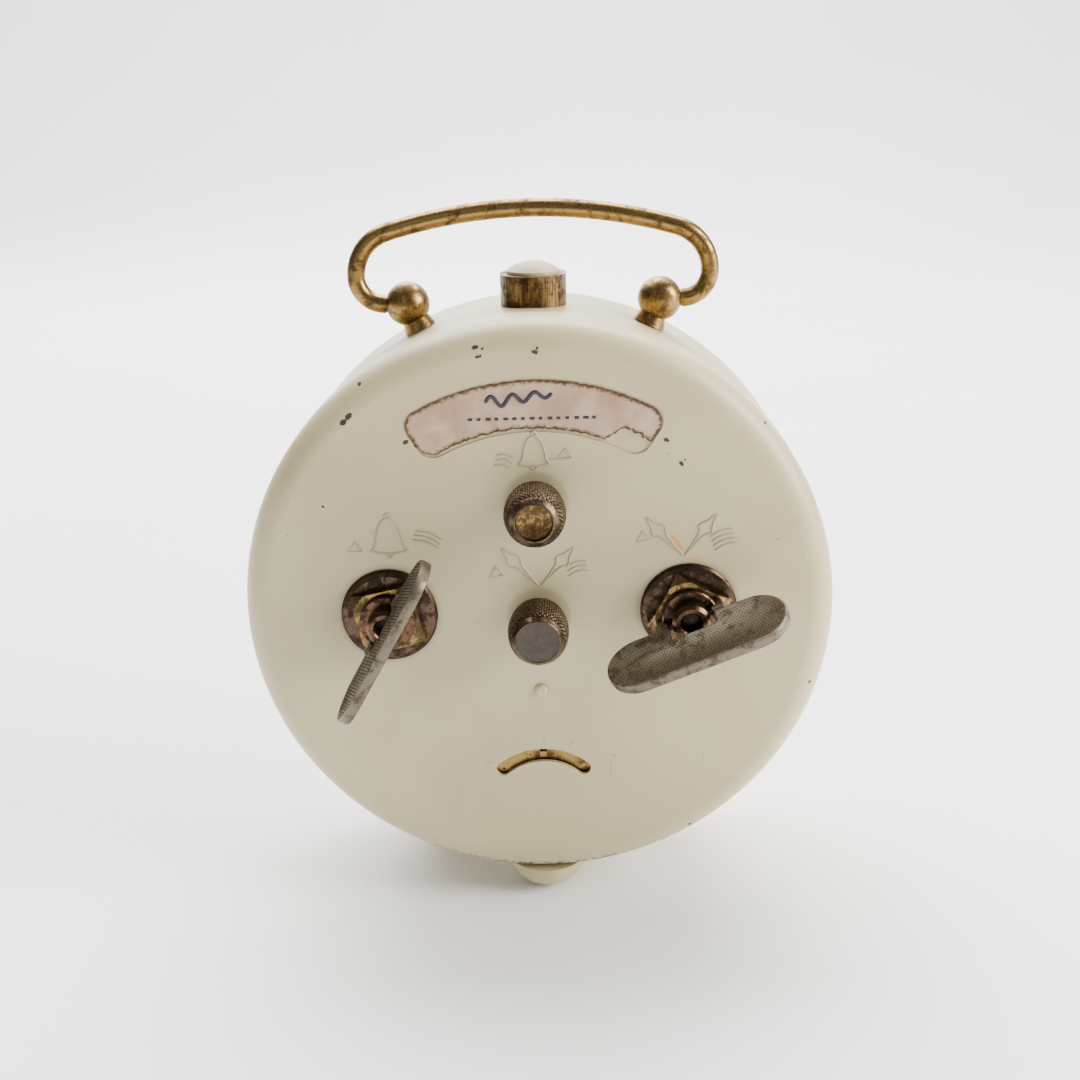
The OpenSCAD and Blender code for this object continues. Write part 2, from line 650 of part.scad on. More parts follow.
module pillars() color(brass) in_case() for (p = pillar_at) {
    rod(p, 2.2, back_plate_e, front_plate_e);
    rod(p, 1.2, back_plate_e - plate_t[0] - 1.6, front_plate_e + plate_t[1]);
}
module plate_nuts() color(steel) in_case() for (p = pillar_at)
    translate([p[0], p[1], back_plate_e - plate_t[0] - 1.5]) difference() {
        cylinder(r = 2.6, h = 1.48, $fn = 6);
        translate([0, 0, -1]) cylinder(r = 1.2 + fit_gap / 2, h = 4);
    }

// ---- Going train ----

// An arbor with thin pivots in both plates
module arbor(at, r = 0.8) {
    rod(at, r, back_plate_e + 0.2, front_plate_e - 0.2);
    rod(at, pivot_r, back_plate_e - plate_t[0], front_plate_e + plate_t[1]);
}
centre_turn = 0;
centre_pinion_turn =
    mesh_turn(centre_pinion_teeth, atan(-key_up / key_x), great_teeth, atan(-key_up / key_x));
third_line = atan2(third_at[1], third_at[0]);
third_pinion_turn = mesh_turn(third_pinion_teeth, third_line, centre_teeth, centre_turn);
fourth_line = atan2(fourth_at[1] - third_at[1], fourth_at[0] - third_at[0]);
fourth_pinion_turn = mesh_turn(fourth_pinion_teeth, fourth_line, third_teeth, 0);
escape_line = atan2(escape_at[1] - fourth_at[1], escape_at[0] - fourth_at[0]);
escape_pinion_turn = mesh_turn(escape_pinion_teeth, escape_line, fourth_teeth, 0);

module centre_wheel() color(brass) in_case() difference() {
    union() {
        wheel([0, 0], centre_teeth, centre_m, centre_wheel_e, wheel_t, centre_turn, 0, 4, 4.2);
        wheel([0, 0], centre_pinion_teeth, great_m, centre_wheel_e + wheel_t / 2,
            great_e + 1.5 - centre_wheel_e - wheel_t / 2, centre_pinion_turn);
    }
    rod([0, 0], centre_r + fit_gap, centre_wheel_e - 1, great_e + 3);
}
module third_wheel() color(brass) in_case() {
    wheel(third_at, third_teeth, third_m, third_e, wheel_t, 0, 0, 4, 2);
    wheel(third_at, third_pinion_teeth, centre_m, back_plate_e + 0.2, 2, third_pinion_turn);
    arbor(third_at, 0.7);
}
module fourth_wheel() color(brass) in_case() {
    wheel(fourth_at, fourth_teeth, fourth_m, fourth_e, wheel_t, 0, 0, 4, 2);
    wheel(fourth_at, fourth_pinion_teeth, third_m, third_e - 0.3, wheel_t + 0.6, fourth_pinion_turn);
    arbor(fourth_at, 0.7);
}
// Escape wheel with pointed teeth, and its pinion
module escape_wheel() color(brass) in_case() {
    translate([escape_at[0], escape_at[1], escape_e]) linear_extrude(wheel_t) difference() {
        polygon([for (i = [0:escape_points - 1]) let (a = 360 / escape_points) each [
            polar(escape_r, a * i), polar(escape_r, a * (i + 0.12)), polar(escape_r - 1.1, a * (i + 0.35)),
            polar(escape_r - 1.1, a * (i + 0.85))]]);
        difference() {
            circle(escape_r - 1.7);
            circle(1.3);
            for (a = [0, 90]) rotate(a) square([8, 0.7], center = true);
        }
    }
    wheel(escape_at, escape_pinion_teeth, fourth_m, fourth_e - 0.3, wheel_t + 0.6, escape_pinion_turn);
    arbor(escape_at, 0.6);
}

// Pin-pallet lever between the escape wheel and the balance, on a short arbor in the front plate
pallet_reach = escape_r + 0.3 + 0.45;
pallet_half = 37;
module pallet_lever() color(steel) in_case() {
    pins = [for (s = [-1, 1]) escape_at + polar(pallet_reach, lever_line + s * pallet_half)];
    translate([0, 0, escape_e + 1.2]) linear_extrude(0.7) {
        translate(lever_at) circle(1.2);
        for (p = pins) arm_outline(lever_at, p, 0.5);
        arm_outline(lever_at, lever_at + polar(2.3, lever_line), 0.45);
    }
    for (p = pins) rod(p, 0.3, escape_e - 0.2, escape_e + 1.3);
    rod(lever_at, 0.8, escape_e + 1, front_plate_e - 0.2);
    rod(lever_at, pivot_r, front_plate_e - 0.3, front_plate_e + plate_t[1]);
}
// A straight arm with round ends between two places
module arm_outline(a, b, r) {
    line = atan2(b[1] - a[1], b[0] - a[0]);
    translate(a) circle(r);
    translate(b) circle(r);
    translate(a) rotate(line) translate([0, -r]) square([norm(b - a), 2 * r]);
}

// Balance wheel: rim, two arms, roller with its pin, and staff
module balance_wheel() color(brass) in_case() {
    translate([0, balance_at[1], balance_e]) {
        difference() {
            cylinder(r = 7, h = 1);
            translate([0, 0, -1]) cylinder(r = 6, h = 3);
        }
        translate([-6.4, -0.5, 0.2]) cube([12.8, 1, 0.6]);
        cylinder(r = 1.4, h = 1.2);
    }
    rod(balance_at, staff_r, back_plate_e + 0.2, front_plate_e - 0.2);
    rod(balance_at, pivot_r, back_plate_e - plate_t[0], front_plate_e + plate_t[1]);
    rod(balance_at, 1.2, escape_e + 1.2, escape_e + 1.9);
    rod(balance_at + [1.4, 0], 0.25, balance_e + 0.9, balance_e + 2.4);
    rod(balance_at + [1.4, 0], 0.4, balance_e + 0.5, balance_e + 1.1);
}
hairspring_r = 3.6;
module hairspring() color(steel) in_case() translate([0, balance_at[1], balance_e - 2.2]) {
    linear_extrude(0.4) spiral(1.1, hairspring_r, 5, 0.16);
    translate([hairspring_r, 0, -balance_e + 2.2 + back_plate_e + 0.02])
        cylinder(r = 0.45, h = balance_e - back_plate_e - 1.8);
}
// Regulator: a ring round the balance bearing, and a pointer with an arc-shaped shield; both show in the slot
module regulator() color(brass) in_case() {
    e = back_plate_e - plate_t[0] - 1;
    translate([0, balance_at[1], e]) linear_extrude(0.6) {
        difference() {
            union() {
                circle(2.2);
                translate([-0.9, 1]) square([1.8, regulator_slot_r - 1 + 0.5]);
            }
            circle(1.2);
        }
    }
    translate([0, balance_at[1], 1]) linear_extrude(0.6)
        band(regulator_slot_r - 1.6, regulator_slot_r + 1.6, regulator_slot_half + 34, 1);
    translate([-0.55, balance_at[1] + regulator_slot_r - 0.5, 0.4]) cube([1.1, 0.9, e]);
}

// ---- Hands and motion work ----

module knob(up, bore) translate([0, up, 0]) difference() {
    rotate_extrude() {
        polygon([[0, -0.8], [3.6, -0.8], [knob_r - 0.35, -1.4], [knob_r, -3], [knob_r, -6.2],
            [knob_r - 0.25, -8.4], [knob_r - 0.9, -9.6], [0, -9.6]]);
    }
    translate([0, 0, -8]) cylinder(r = bore + 0.02, h = 10);
}
module hand_knob() color(bronze) in_case() knob(0, centre_r);
module alarm_knob() color(bronze) in_case() knob(alarm_knob_up, set_arbor_r);
module centre_arbor() color(steel) in_case() {
    rod([0, 0], centre_r, -8, front_plate_e + plate_t[1] + 0.1);
    rod([0, 0], centre_front_r, front_plate_e, dial_e + 3.9);
}
cannon_turn = 0;
minute_line = 205;
minute_turn = mesh_turn(minute_teeth, minute_line, cannon_teeth, cannon_turn);
minute_pinion_turn = 0;
hour_turn = mesh_turn(hour_teeth, minute_line + 180, minute_pinion_teeth, minute_pinion_turn);
set_line = 90;
alarm_wheel_turn = 0;
alarm_pinion_turn = mesh_turn(alarm_pinion_teeth, set_line, alarm_wheel_teeth, alarm_wheel_turn);

module cannon_pinion() color(steel) in_case() {
    wheel([0, 0], cannon_teeth, motion_m, front_plate_e + plate_t[1] + 0.2, 1, cannon_turn,
        centre_front_r + 0.02);
    translate([0, 0, 24.1]) difference() {
        cylinder(r = cannon_r, h = dial_e + 3.2 - 24.1);
        translate([0, 0, -1]) cylinder(r = centre_front_r + 0.02, h = 12);
    }
}
module minute_wheel() color(brass) in_case() {
    e = front_plate_e + plate_t[1] + 0.3;
    wheel(minute_at, minute_teeth, motion_m, e, 0.8, minute_turn);
    wheel(minute_at, minute_pinion_teeth, hour_m, e + 0.7, 1.5, minute_pinion_turn);
    rod(minute_at, 0.8, front_plate_e, e + 0.1);
}
module hour_wheel() color(brass) in_case() difference() {
    union() {
        wheel([0, 0], hour_teeth, hour_m, front_plate_e + plate_t[1] + 1.5, 0.8, hour_turn);
        rod([0, 0], hour_tube_r[1], front_plate_e + plate_t[1] + 1.5, dial_e + 2.2);
    }
    rod([0, 0], hour_tube_r[0], front_plate_e, dial_e + 5);
}
module alarm_wheel() color(brass) in_case() difference() {
    union() {
        wheel([0, 0], alarm_wheel_teeth, alarm_set_m, 25.7, 0.8, alarm_wheel_turn);
        rod([0, 0], alarm_tube_r[1], 25.7, dial_e + 1.25);
    }
    rod([0, 0], alarm_tube_r[0], 20, dial_e + 5);
}
module alarm_set_arbor() color(steel) in_case() {
    rod([0, alarm_knob_up], set_arbor_r, -8, front_plate_e + plate_t[1] + 0.4);
    rod([0, alarm_knob_up], 0.8, 23, 25.7);
    wheel([0, alarm_knob_up], alarm_pinion_teeth, alarm_set_m, 25.5, 1.2, alarm_pinion_turn);
}

// A hand: a hub ring and a tapered blade
module hand(bore, e, t, length, width, turn)
    translate([0, 0, e]) rotate(turn) linear_extrude(t) difference() {
    union() {
        circle(bore + 1.3);
        polygon([[-width / 2, -bore - 4], [width / 2, -bore - 4], [width * 0.42, length * 0.7], [0, length],
            [-width * 0.42, length * 0.7]]);
    }
    circle(bore);
}
module minute_hand() color(bronze) in_case() hand(cannon_r + 0.01, dial_e + 2.75, 0.4, 32, 2.2, 62);
module hour_hand() color(bronze) in_case() hand(hour_tube_r[1] + 0.01, dial_e + 1.7, 0.4, 21, 3, -55);
module alarm_hand() color(brass) in_case() hand(alarm_tube_r[1] + 0.01, dial_e + 0.9, 0.35, 12.5, 1.6, 170);

// ---- Alarm train ----

hammer_line = 150;
hammer_pinion_turn = mesh_turn(hammer_pinion_teeth, hammer_line, alarm_great_teeth, hammer_line);
module hammer_wheel() color(brass) in_case() {
    translate([hammer_wheel_at[0], hammer_wheel_at[1], 16]) linear_extrude(1) rotate(10)
        ratchet_outline(4.6, 15, 1.1);
    wheel(hammer_wheel_at, hammer_pinion_teeth, alarm_m, great_e - 0.3, 1.8, hammer_pinion_turn);
    arbor(hammer_wheel_at, 0.55);
}
// Hammer: pallets by the hammer wheel, arbor, and the arm and head outside the back plate
module alarm_hammer() color(steel) in_case() {
    arm_e = back_plate_e - plate_t[0] - 2;
    line = atan2(hammer_wheel_at[1] - hammer_at[1], hammer_wheel_at[0] - hammer_at[0]);
    rod(hammer_at, 0.8, back_plate_e + 0.2, front_plate_e - 0.2);
    rod(hammer_at, pivot_r, arm_e, front_plate_e + plate_t[1]);
    translate([0, 0, 16]) linear_extrude(1) {
        translate(hammer_at) circle(1.4);
        for (s = [-1, 1]) arm_outline(hammer_at, hammer_wheel_at + polar(5.6, line + 180 + s * 42), 0.45);
    }
    translate([0, 0, arm_e]) linear_extrude(0.9) {
        translate(hammer_at) circle(1.4);
        arm_outline(hammer_at, hammer_head, 0.7);
    }
    rod(hammer_head, 2, 2.6, arm_e + 1);
}

back_cover();
case_drum();
front_bezel();
crystal();
dial();
paper_label();
rear_foot();
front_feet();
foot_nuts();
handle_posts();
post_nuts();
handle();
button_collar();
button();
button_spring();
button_ring();
sounding_stud();
arbor_bushings();
key_washers();
square_nuts();
back_plate();
front_plate();
pillars();
plate_nuts();
time_hub();
time_wing();
time_arbor();
time_ratchet();
time_great_wheel();
time_click();
time_mainspring();
alarm_hub();
alarm_wing();
alarm_arbor();
alarm_ratchet();
alarm_great_wheel();
alarm_click();
alarm_mainspring();
centre_wheel();
third_wheel();
fourth_wheel();
escape_wheel();
pallet_lever();
balance_wheel();
hairspring();
regulator();
hand_knob();
centre_arbor();
cannon_pinion();
minute_wheel();
hour_wheel();
minute_hand();
hour_hand();
alarm_knob();
alarm_set_arbor();
alarm_wheel();
alarm_hand();
hammer_wheel();
alarm_hammer();
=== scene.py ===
"""Looks for the wind-up alarm clock: materials for every CAD part, and finer meshes for the knurled
knobs, the handle, the key wings, the torn paper label, the embossed signs and the dial's print.

Detail pieces are laid out in the clock's back frame, in millimetres as seen from behind: x to the
right, up from the case axis, and out from the flat back.
"""

import json
import math
import random

import bpy
from mathutils import Matrix, Vector, noise


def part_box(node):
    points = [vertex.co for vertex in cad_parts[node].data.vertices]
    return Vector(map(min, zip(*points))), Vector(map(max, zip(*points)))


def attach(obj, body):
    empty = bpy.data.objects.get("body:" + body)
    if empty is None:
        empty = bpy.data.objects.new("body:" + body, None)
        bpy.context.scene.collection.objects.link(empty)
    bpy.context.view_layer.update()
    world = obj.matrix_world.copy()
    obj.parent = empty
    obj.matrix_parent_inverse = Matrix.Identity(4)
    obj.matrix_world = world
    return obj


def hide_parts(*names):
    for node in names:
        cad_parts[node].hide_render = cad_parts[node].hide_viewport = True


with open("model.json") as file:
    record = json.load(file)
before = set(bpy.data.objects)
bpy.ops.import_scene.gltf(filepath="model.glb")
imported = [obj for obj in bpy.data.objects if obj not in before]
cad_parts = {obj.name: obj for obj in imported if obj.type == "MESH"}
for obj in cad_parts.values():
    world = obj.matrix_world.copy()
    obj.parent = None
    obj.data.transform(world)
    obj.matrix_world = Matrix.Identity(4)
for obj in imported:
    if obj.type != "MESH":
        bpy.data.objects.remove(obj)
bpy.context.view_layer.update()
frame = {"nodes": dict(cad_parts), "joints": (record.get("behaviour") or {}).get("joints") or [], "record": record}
nodes = frame["nodes"]
joints = {joint["name"]: joint for joint in frame["joints"]}

MM = 0.001
cover_low, cover_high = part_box("back_cover")
BACK_Y = cover_high.y
AXIS_Z = (cover_low.z + cover_high.z) / 2
COVER_R = (cover_high.x - cover_low.x) / 2 / MM

# As seen from behind: x to the right is -X, up is +Z, out is +Y
BACK_AXES = Matrix(((-1, 0, 0, 0), (0, 0, 1, 0), (0, 1, 0, 0), (0, 0, 0, 1)))
BACK = Matrix.Translation((0, BACK_Y, AXIS_Z)) @ BACK_AXES @ Matrix.Scale(MM, 4)
# As seen from the front: x to the right is +X, up is +Z, and the third axis points out of the dial
DIAL_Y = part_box("dial")[0].y
FRONT = Matrix.Translation((0, DIAL_Y, AXIS_Z)) @ Matrix.Rotation(math.radians(90), 4, "X")
FRONT = FRONT @ Matrix.Scale(MM, 4)


# ---- Material helpers ----

class Shade:
    """A procedural material: a Principled shader and the nodes that feed it."""

    def __init__(self, name, **sockets):
        self.material = bpy.data.materials.new(name)
        self.material.use_nodes = True
        self.tree = self.material.node_tree
        self.shader = self.tree.nodes["Principled BSDF"]
        for socket, value in sockets.items():
            self.shader.inputs[socket.replace("_", " ")].default_value = value
        place = self.tree.nodes.new("ShaderNodeTexCoord")
        scale = self.tree.nodes.new("ShaderNodeVectorMath")
        scale.operation = "SCALE"
        scale.inputs["Scale"].default_value = 1 / MM
        self.tree.links.new(place.outputs["Object"], scale.inputs[0])
        self.mm = scale.outputs[0]

    def node(self, kind, inputs=None, **settings):
        made = self.tree.nodes.new("ShaderNode" + kind)
        for key, value in settings.items():
            setattr(made, key, value)
        for socket, value in (inputs or {}).items():
            if isinstance(value, bpy.types.NodeSocket):
                self.tree.links.new(value, made.inputs[socket])
            else:
                made.inputs[socket].default_value = value
        return made

    def link(self, source, socket):
        self.tree.links.new(source, self.shader.inputs[socket])

    def noise(self, per_mm, detail=4, roughness=0.6, distortion=0, vector=None):
        return self.node("TexNoise", {"Vector": vector or self.mm, "Scale": per_mm, "Detail": detail,
                                      "Roughness": roughness, "Distortion": distortion}).outputs["Fac"]

    def cells(self, per_mm, vector=None):
        return self.node("TexVoronoi", {"Vector": vector or self.mm, "Scale": per_mm}).outputs["Distance"]

    def stretch(self, x, y, z):
        return self.node("Mapping", {"Vector": self.mm, "Scale": (x, y, z)}).outputs[0]

    def ramp(self, source, low, high, start=0, end=1):
        return self.node("MapRange", {"Value": source, "From Min": low, "From Max": high, "To Min": start,
                                      "To Max": end}, interpolation_type="SMOOTHSTEP").outputs["Result"]

    def math(self, operation, first, second=0.0):
        return self.node("Math", {0: first, 1: second}, operation=operation).outputs[0]

    def blend(self, factor, first, second):
        made = self.tree.nodes.new("ShaderNodeMix")
        made.data_type = "RGBA"
        for index, value in ((0, factor), (6, first), (7, second)):
            if isinstance(value, bpy.types.NodeSocket):
                self.tree.links.new(value, made.inputs[index])
            else:
                made.inputs[index].default_value = value
        return made.outputs[2]

    def bump(self, height, strength, distance_mm, normal=None):
        inputs = {"Height": height, "Strength": strength, "Distance": distance_mm * MM}
        if normal is not None:
            inputs["Normal"] = normal
        return self.node("Bump", inputs).outputs[0]


def srgb(red, green, blue):
    """A colour given as it looks on screen, 0 to 255, turned into the linear value that a shader takes."""
    shares = [c / 255 for c in (red, green, blue)]
    linear = [c / 12.92 if c <= 10 / 255 else ((c + 0.055) / 1.055) ** 2.4 for c in shares]
    return (*linear, 1)


# ---- Materials ----

ENAMEL = srgb(184, 172, 132)
CHIP_DARK = srgb(34, 27, 24)

# Paint chips on the back: x, up, out, radius across, and how far each is drawn out along x
CHIPS = (
    (-7.9, 41.5, -0.2, 0.34, 1.5), (-6.9, 41.3, -0.2, 0.24, 1.0), (-7.5, 40.2, 0, 0.26, 2.2),
    (0.5, 40.7, 0, 0.36, 1.4), (0.9, 41.2, -0.1, 0.24, 1.0), (-27.4, 31.0, 0, 0.42, 1.5),
    (-26.6, 31.9, -0.1, 0.4, 1.8), (-24.9, 36.3, -1.4, 0.3, 1.0), (-31.4, 18.3, 0, 0.22, 1.0),
    (21.4, 23.8, 0, 0.3, 1.5), (21.9, 24.3, 0, 0.16, 1.0), (33.7, 29.1, -2.1, 0.24, 1.0),
    (41.4, -11.9, -0.6, 0.3, 1.0), (23.2, -36.8, -0.9, 0.34, 1.0), (11.8, 43.4, -10.2, 0.3, 1.4),
    (-18.6, 27.9, 0, 0.3, 1.6), (-17.2, 27.3, 0, 0.22, 1.2), (19.2, 27.4, 0, 0.3, 1.7),
    (-37.0, 14.0, 0, 0.12, 1.0), (-12.0, -20.0, 0, 0.12, 1.0), (28.0, -9.0, 0, 0.13, 1.0),
)


def enamel(name, chips=(), worn_rim=False):
    """Aged cream stove enamel over steel: faint clouding, specks, orange peel, and chips to dark metal."""
    shade = Shade(name, Roughness=0.42, IOR=1.5, Coat_Weight=0.12, Coat_Roughness=0.3)
    clouds = shade.noise(0.035, 3)
    base = shade.blend(shade.ramp(clouds, 0.35, 0.7), ENAMEL, srgb(176, 162, 122))
    grime = shade.ramp(shade.noise(0.35, 8, 0.7), 0.62, 0.8, 0, 0.16)
    base = shade.blend(grime, base, srgb(128, 110, 78))
    specks = shade.ramp(shade.cells(0.33), 0.075, 0.045)
    some = shade.ramp(shade.noise(0.21, 2), 0.52, 0.6)
    base = shade.blend(shade.math("MULTIPLY", shade.math("MULTIPLY", specks, some), 0.75), base,
                       srgb(96, 78, 58))
    ragged = shade.node("VectorMath", {0: shade.node("TexNoise", {"Vector": shade.mm, "Scale": 2.6,
                        "Detail": 5}).outputs["Color"], 1: (0.5, 0.5, 0.5)}, operation="SUBTRACT").outputs[0]
    ragged = shade.node("VectorMath", {0: ragged, "Scale": 0.6}, operation="SCALE").outputs[0]
    wavy = shade.node("VectorMath", {0: shade.mm, 1: ragged}, operation="ADD").outputs[0]
    mask = None
    for x, up, out, size, long in chips:
        centre = (BACK @ Vector((x, up, out))) / MM
        offset = shade.node("VectorMath", {0: wavy, 1: centre}, operation="SUBTRACT").outputs[0]
        turned = shade.node("VectorRotate", {"Vector": offset, "Axis": (0, 1, 0),
                                             "Angle": math.atan2(x, up)}).outputs[0]
        flat = shade.node("VectorMath", {0: turned, 1: (1 / (size * long), 1 / size / 2, 1 / size)},
                          operation="MULTIPLY").outputs[0]
        far = shade.node("VectorMath", {0: flat}, operation="LENGTH").outputs["Value"]
        chip = shade.ramp(far, 1.05, 0.85)
        mask = chip if mask is None else shade.math("MAXIMUM", mask, chip)
    if worn_rim:
        axes = shade.node("SeparateXYZ", {0: shade.mm})
        radius = shade.node("VectorMath", {0: shade.node("CombineXYZ", {
            0: axes.outputs[0], 2: shade.math("SUBTRACT", axes.outputs[2], AXIS_Z / MM)}).outputs[0]},
            operation="LENGTH").outputs["Value"]
        low = shade.ramp(axes.outputs[2], 14, 7)
        ring = shade.math("MULTIPLY", shade.ramp(radius, COVER_R - 2.0, COVER_R - 1.4),
                          shade.ramp(radius, COVER_R - 0.2, COVER_R - 0.9))
        worn = shade.math("MULTIPLY", shade.math("MULTIPLY", ring, low),
                          shade.ramp(shade.noise(1.1, 6, 0.75), 0.5, 0.56))
        mask = shade.math("MAXIMUM", mask, worn) if mask is not None else worn
    height = shade.math("MULTIPLY", shade.noise(0.9, 2), 0.3)
    if mask is not None:
        rust = shade.ramp(shade.noise(2.5, 3), 0.45, 0.65)
        base = shade.blend(mask, base, shade.blend(rust, CHIP_DARK, srgb(66, 48, 36)))
        height = shade.math("SUBTRACT", height, mask)
        shade.link(shade.ramp(mask, 0, 1, 0.42, 0.75), "Roughness")
    shade.link(base, "Base Color")
    shade.link(shade.bump(height, 0.35, 0.12), "Normal")
    return shade


def stained_enamel(name, chips):
    """The back's enamel: rust stains at one sign, painted shadow round the key washers and knob holes."""
    shade = enamel(name, chips, worn_rim=True)
    base = shade.shader.inputs["Base Color"].links[0].from_socket
    drips = ((20.7, 11.6, 0.62, 2.3, -38, 0.75), (23.6, 9.0, 1.6, 0.7, 0, 0.3))
    for x, up, wide, tall, turn, amount in drips:
        centre = (BACK @ Vector((x, up, 0))) / MM
        offset = shade.node("VectorMath", {0: shade.mm, 1: centre}, operation="SUBTRACT").outputs[0]
        turned = shade.node("VectorRotate", {"Vector": offset, "Axis": (0, 1, 0),
                                             "Angle": math.radians(turn)}).outputs[0]
        flat = shade.node("VectorMath", {0: turned, 1: (1 / wide, 0, 1 / tall)}, operation="MULTIPLY")
        far = shade.node("VectorMath", {0: flat.outputs[0]}, operation="LENGTH").outputs["Value"]
        soft = shade.math("ADD", far, shade.math("MULTIPLY", shade.noise(0.9, 5), 0.8))
        base = shade.blend(shade.ramp(soft, 1.6, 0.7, 0, amount), base, srgb(198, 122, 54))
    # Painted shadow: a darker ring on the enamel just outside the key washers and the two knobs
    shadows = ((-22.6, 1, 7.3, 1.1), (22.6, 1, 7.3, 1.1), (0, 18.2, 4.4, 0.8), (0, 0, 4.4, 0.8))
    for x, up, inner, reach in shadows:
        centre = (BACK @ Vector((x, up, 0))) / MM
        offset = shade.node("VectorMath", {0: shade.mm, 1: centre}, operation="SUBTRACT").outputs[0]
        far = shade.node("VectorMath", {0: offset}, operation="LENGTH").outputs["Value"]
        base = shade.blend(shade.ramp(far, inner + reach, inner, 0, 0.35), base, srgb(112, 98, 74))
    shade.link(base, "Base Color")
    return shade


def aged_metal(name, bright, patina, dark, amount=0.5, rough=0.34, grain=0.5, streak=None):
    """Metal with a brown patina in patches, black spots and fine scratches."""
    shade = Shade(name, Metallic=1.0)
    cloud = shade.noise(grain, 7, 0.68, 0.4)
    low = 0.62 - 0.3 * amount
    worn = shade.ramp(cloud, low, low + 0.16)
    base = shade.blend(worn, bright, patina)
    if streak:
        lines = shade.noise(1.0, 5, 0.7, 0.2, shade.stretch(*streak))
        base = shade.blend(shade.ramp(lines, 0.42, 0.62, 0, 0.8), base, dark)
    spots = shade.ramp(shade.noise(grain * 2.6, 6, 0.75), 0.6, 0.68)
    base = shade.blend(spots, base, dark)
    shade.link(base, "Base Color")
    mottled = shade.math("MAXIMUM", worn, spots)
    scratches = shade.ramp(shade.noise(3.0, 4, 0.7, 0, shade.stretch(1, 1, 5)), 0.45, 0.75, 0, 0.16)
    shade.link(shade.math("ADD", shade.ramp(mottled, 0, 1, rough, rough + 0.24), scratches), "Roughness")
    shade.link(shade.bump(shade.math("ADD", mottled, shade.noise(6, 3)), 0.22, 0.05), "Normal")
    return shade


def knurled(name):
    """Bronze with dirt and painted shade in the grooves of its knurl, and polish with a painted highlight on the
    points.
    """
    shade = aged_metal(name, srgb(84, 70, 54), srgb(62, 50, 40), srgb(30, 24, 20), amount=0.5,
                       rough=0.28, grain=0.8)
    base = shade.shader.inputs["Base Color"].links[0].from_socket
    groove = shade.node("Attribute", attribute_name="groove").outputs["Fac"]
    # Grooves darkened: dirt plus painted shade
    base = shade.blend(shade.ramp(groove, 0.45, 0.9), base, srgb(26, 20, 17))
    # Points lightened: polish plus painted highlight
    base = shade.blend(shade.ramp(groove, 0.3, 0.05, 0, 0.55), base, srgb(142, 122, 94))
    shade.link(base, "Base Color")
    return shade


def plain_metal(name, colour, second, rough=0.3, grain=0.8):
    """Clean metal inside the case: slight tone change and turning marks."""
    shade = Shade(name, Metallic=1.0)
    shade.link(shade.blend(shade.ramp(shade.noise(grain, 4), 0.4, 0.66), colour, second), "Base Color")
    shade.link(shade.ramp(shade.noise(grain * 4, 3), 0.3, 0.7, rough, rough + 0.15), "Roughness")
    shade.link(shade.bump(shade.noise(7, 2), 0.12, 0.03), "Normal")
    return shade


def paper(name):
    """Old pinkish paper: fibres, creases, dirt in blotches and a dark torn edge."""
    shade = Shade(name, Roughness=0.85, Specular_IOR_Level=0.25)
    base = shade.blend(shade.ramp(shade.noise(0.22, 5), 0.35, 0.68), srgb(190, 163, 141), srgb(166, 139, 115))
    fibres = shade.ramp(shade.noise(3.5, 6, 0.8, 0, shade.stretch(1, 1, 2.5)), 0.45, 0.75, 0, 0.25)
    base = shade.blend(fibres, base, srgb(150, 116, 94))
    crease = shade.ramp(shade.cells(0.16, shade.stretch(1, 1, 0.5)), 0.5, 0.72, 0, 0.35)
    base = shade.blend(crease, base, srgb(156, 120, 96))
    edge = shade.node("Attribute", attribute_name="edge").outputs["Fac"]
    uneven = shade.math("MULTIPLY", shade.math("SUBTRACT", shade.noise(1.6, 6), 0.5), 1.4)
    ragged = shade.math("ADD", edge, uneven)
    dirt = shade.ramp(ragged, 0.75, 0.1)
    base = shade.blend(dirt, base, srgb(78, 56, 36))
    shade.link(base, "Base Color")
    shade.link(shade.bump(shade.noise(2.2, 6, 0.7), 0.5, 0.06), "Normal")
    return shade


def glass(name):
    shade = Shade(name, Base_Color=(1, 1, 1, 1), Transmission_Weight=1.0, IOR=1.5)
    shade.link(shade.ramp(shade.noise(0.4, 6), 0.55, 0.8, 0.02, 0.08), "Roughness")
    return shade


def printed(name, colour, patchy=0.1, rough=0.55, metallic=0.0):
    """Ink, lacquer or paint with slight unevenness."""
    shade = Shade(name, Metallic=metallic)
    pale = tuple(min(1, c * 1.5 + 0.03) for c in colour[:3]) + (1,)
    patches = shade.ramp(shade.noise(1.3, 6), 0.45, 0.75, 0, patchy)
    shade.link(shade.blend(patches, colour, pale), "Base Color")
    shade.link(shade.ramp(shade.noise(2.0, 3), 0.3, 0.7, rough - 0.08, rough + 0.1), "Roughness")
    return shade


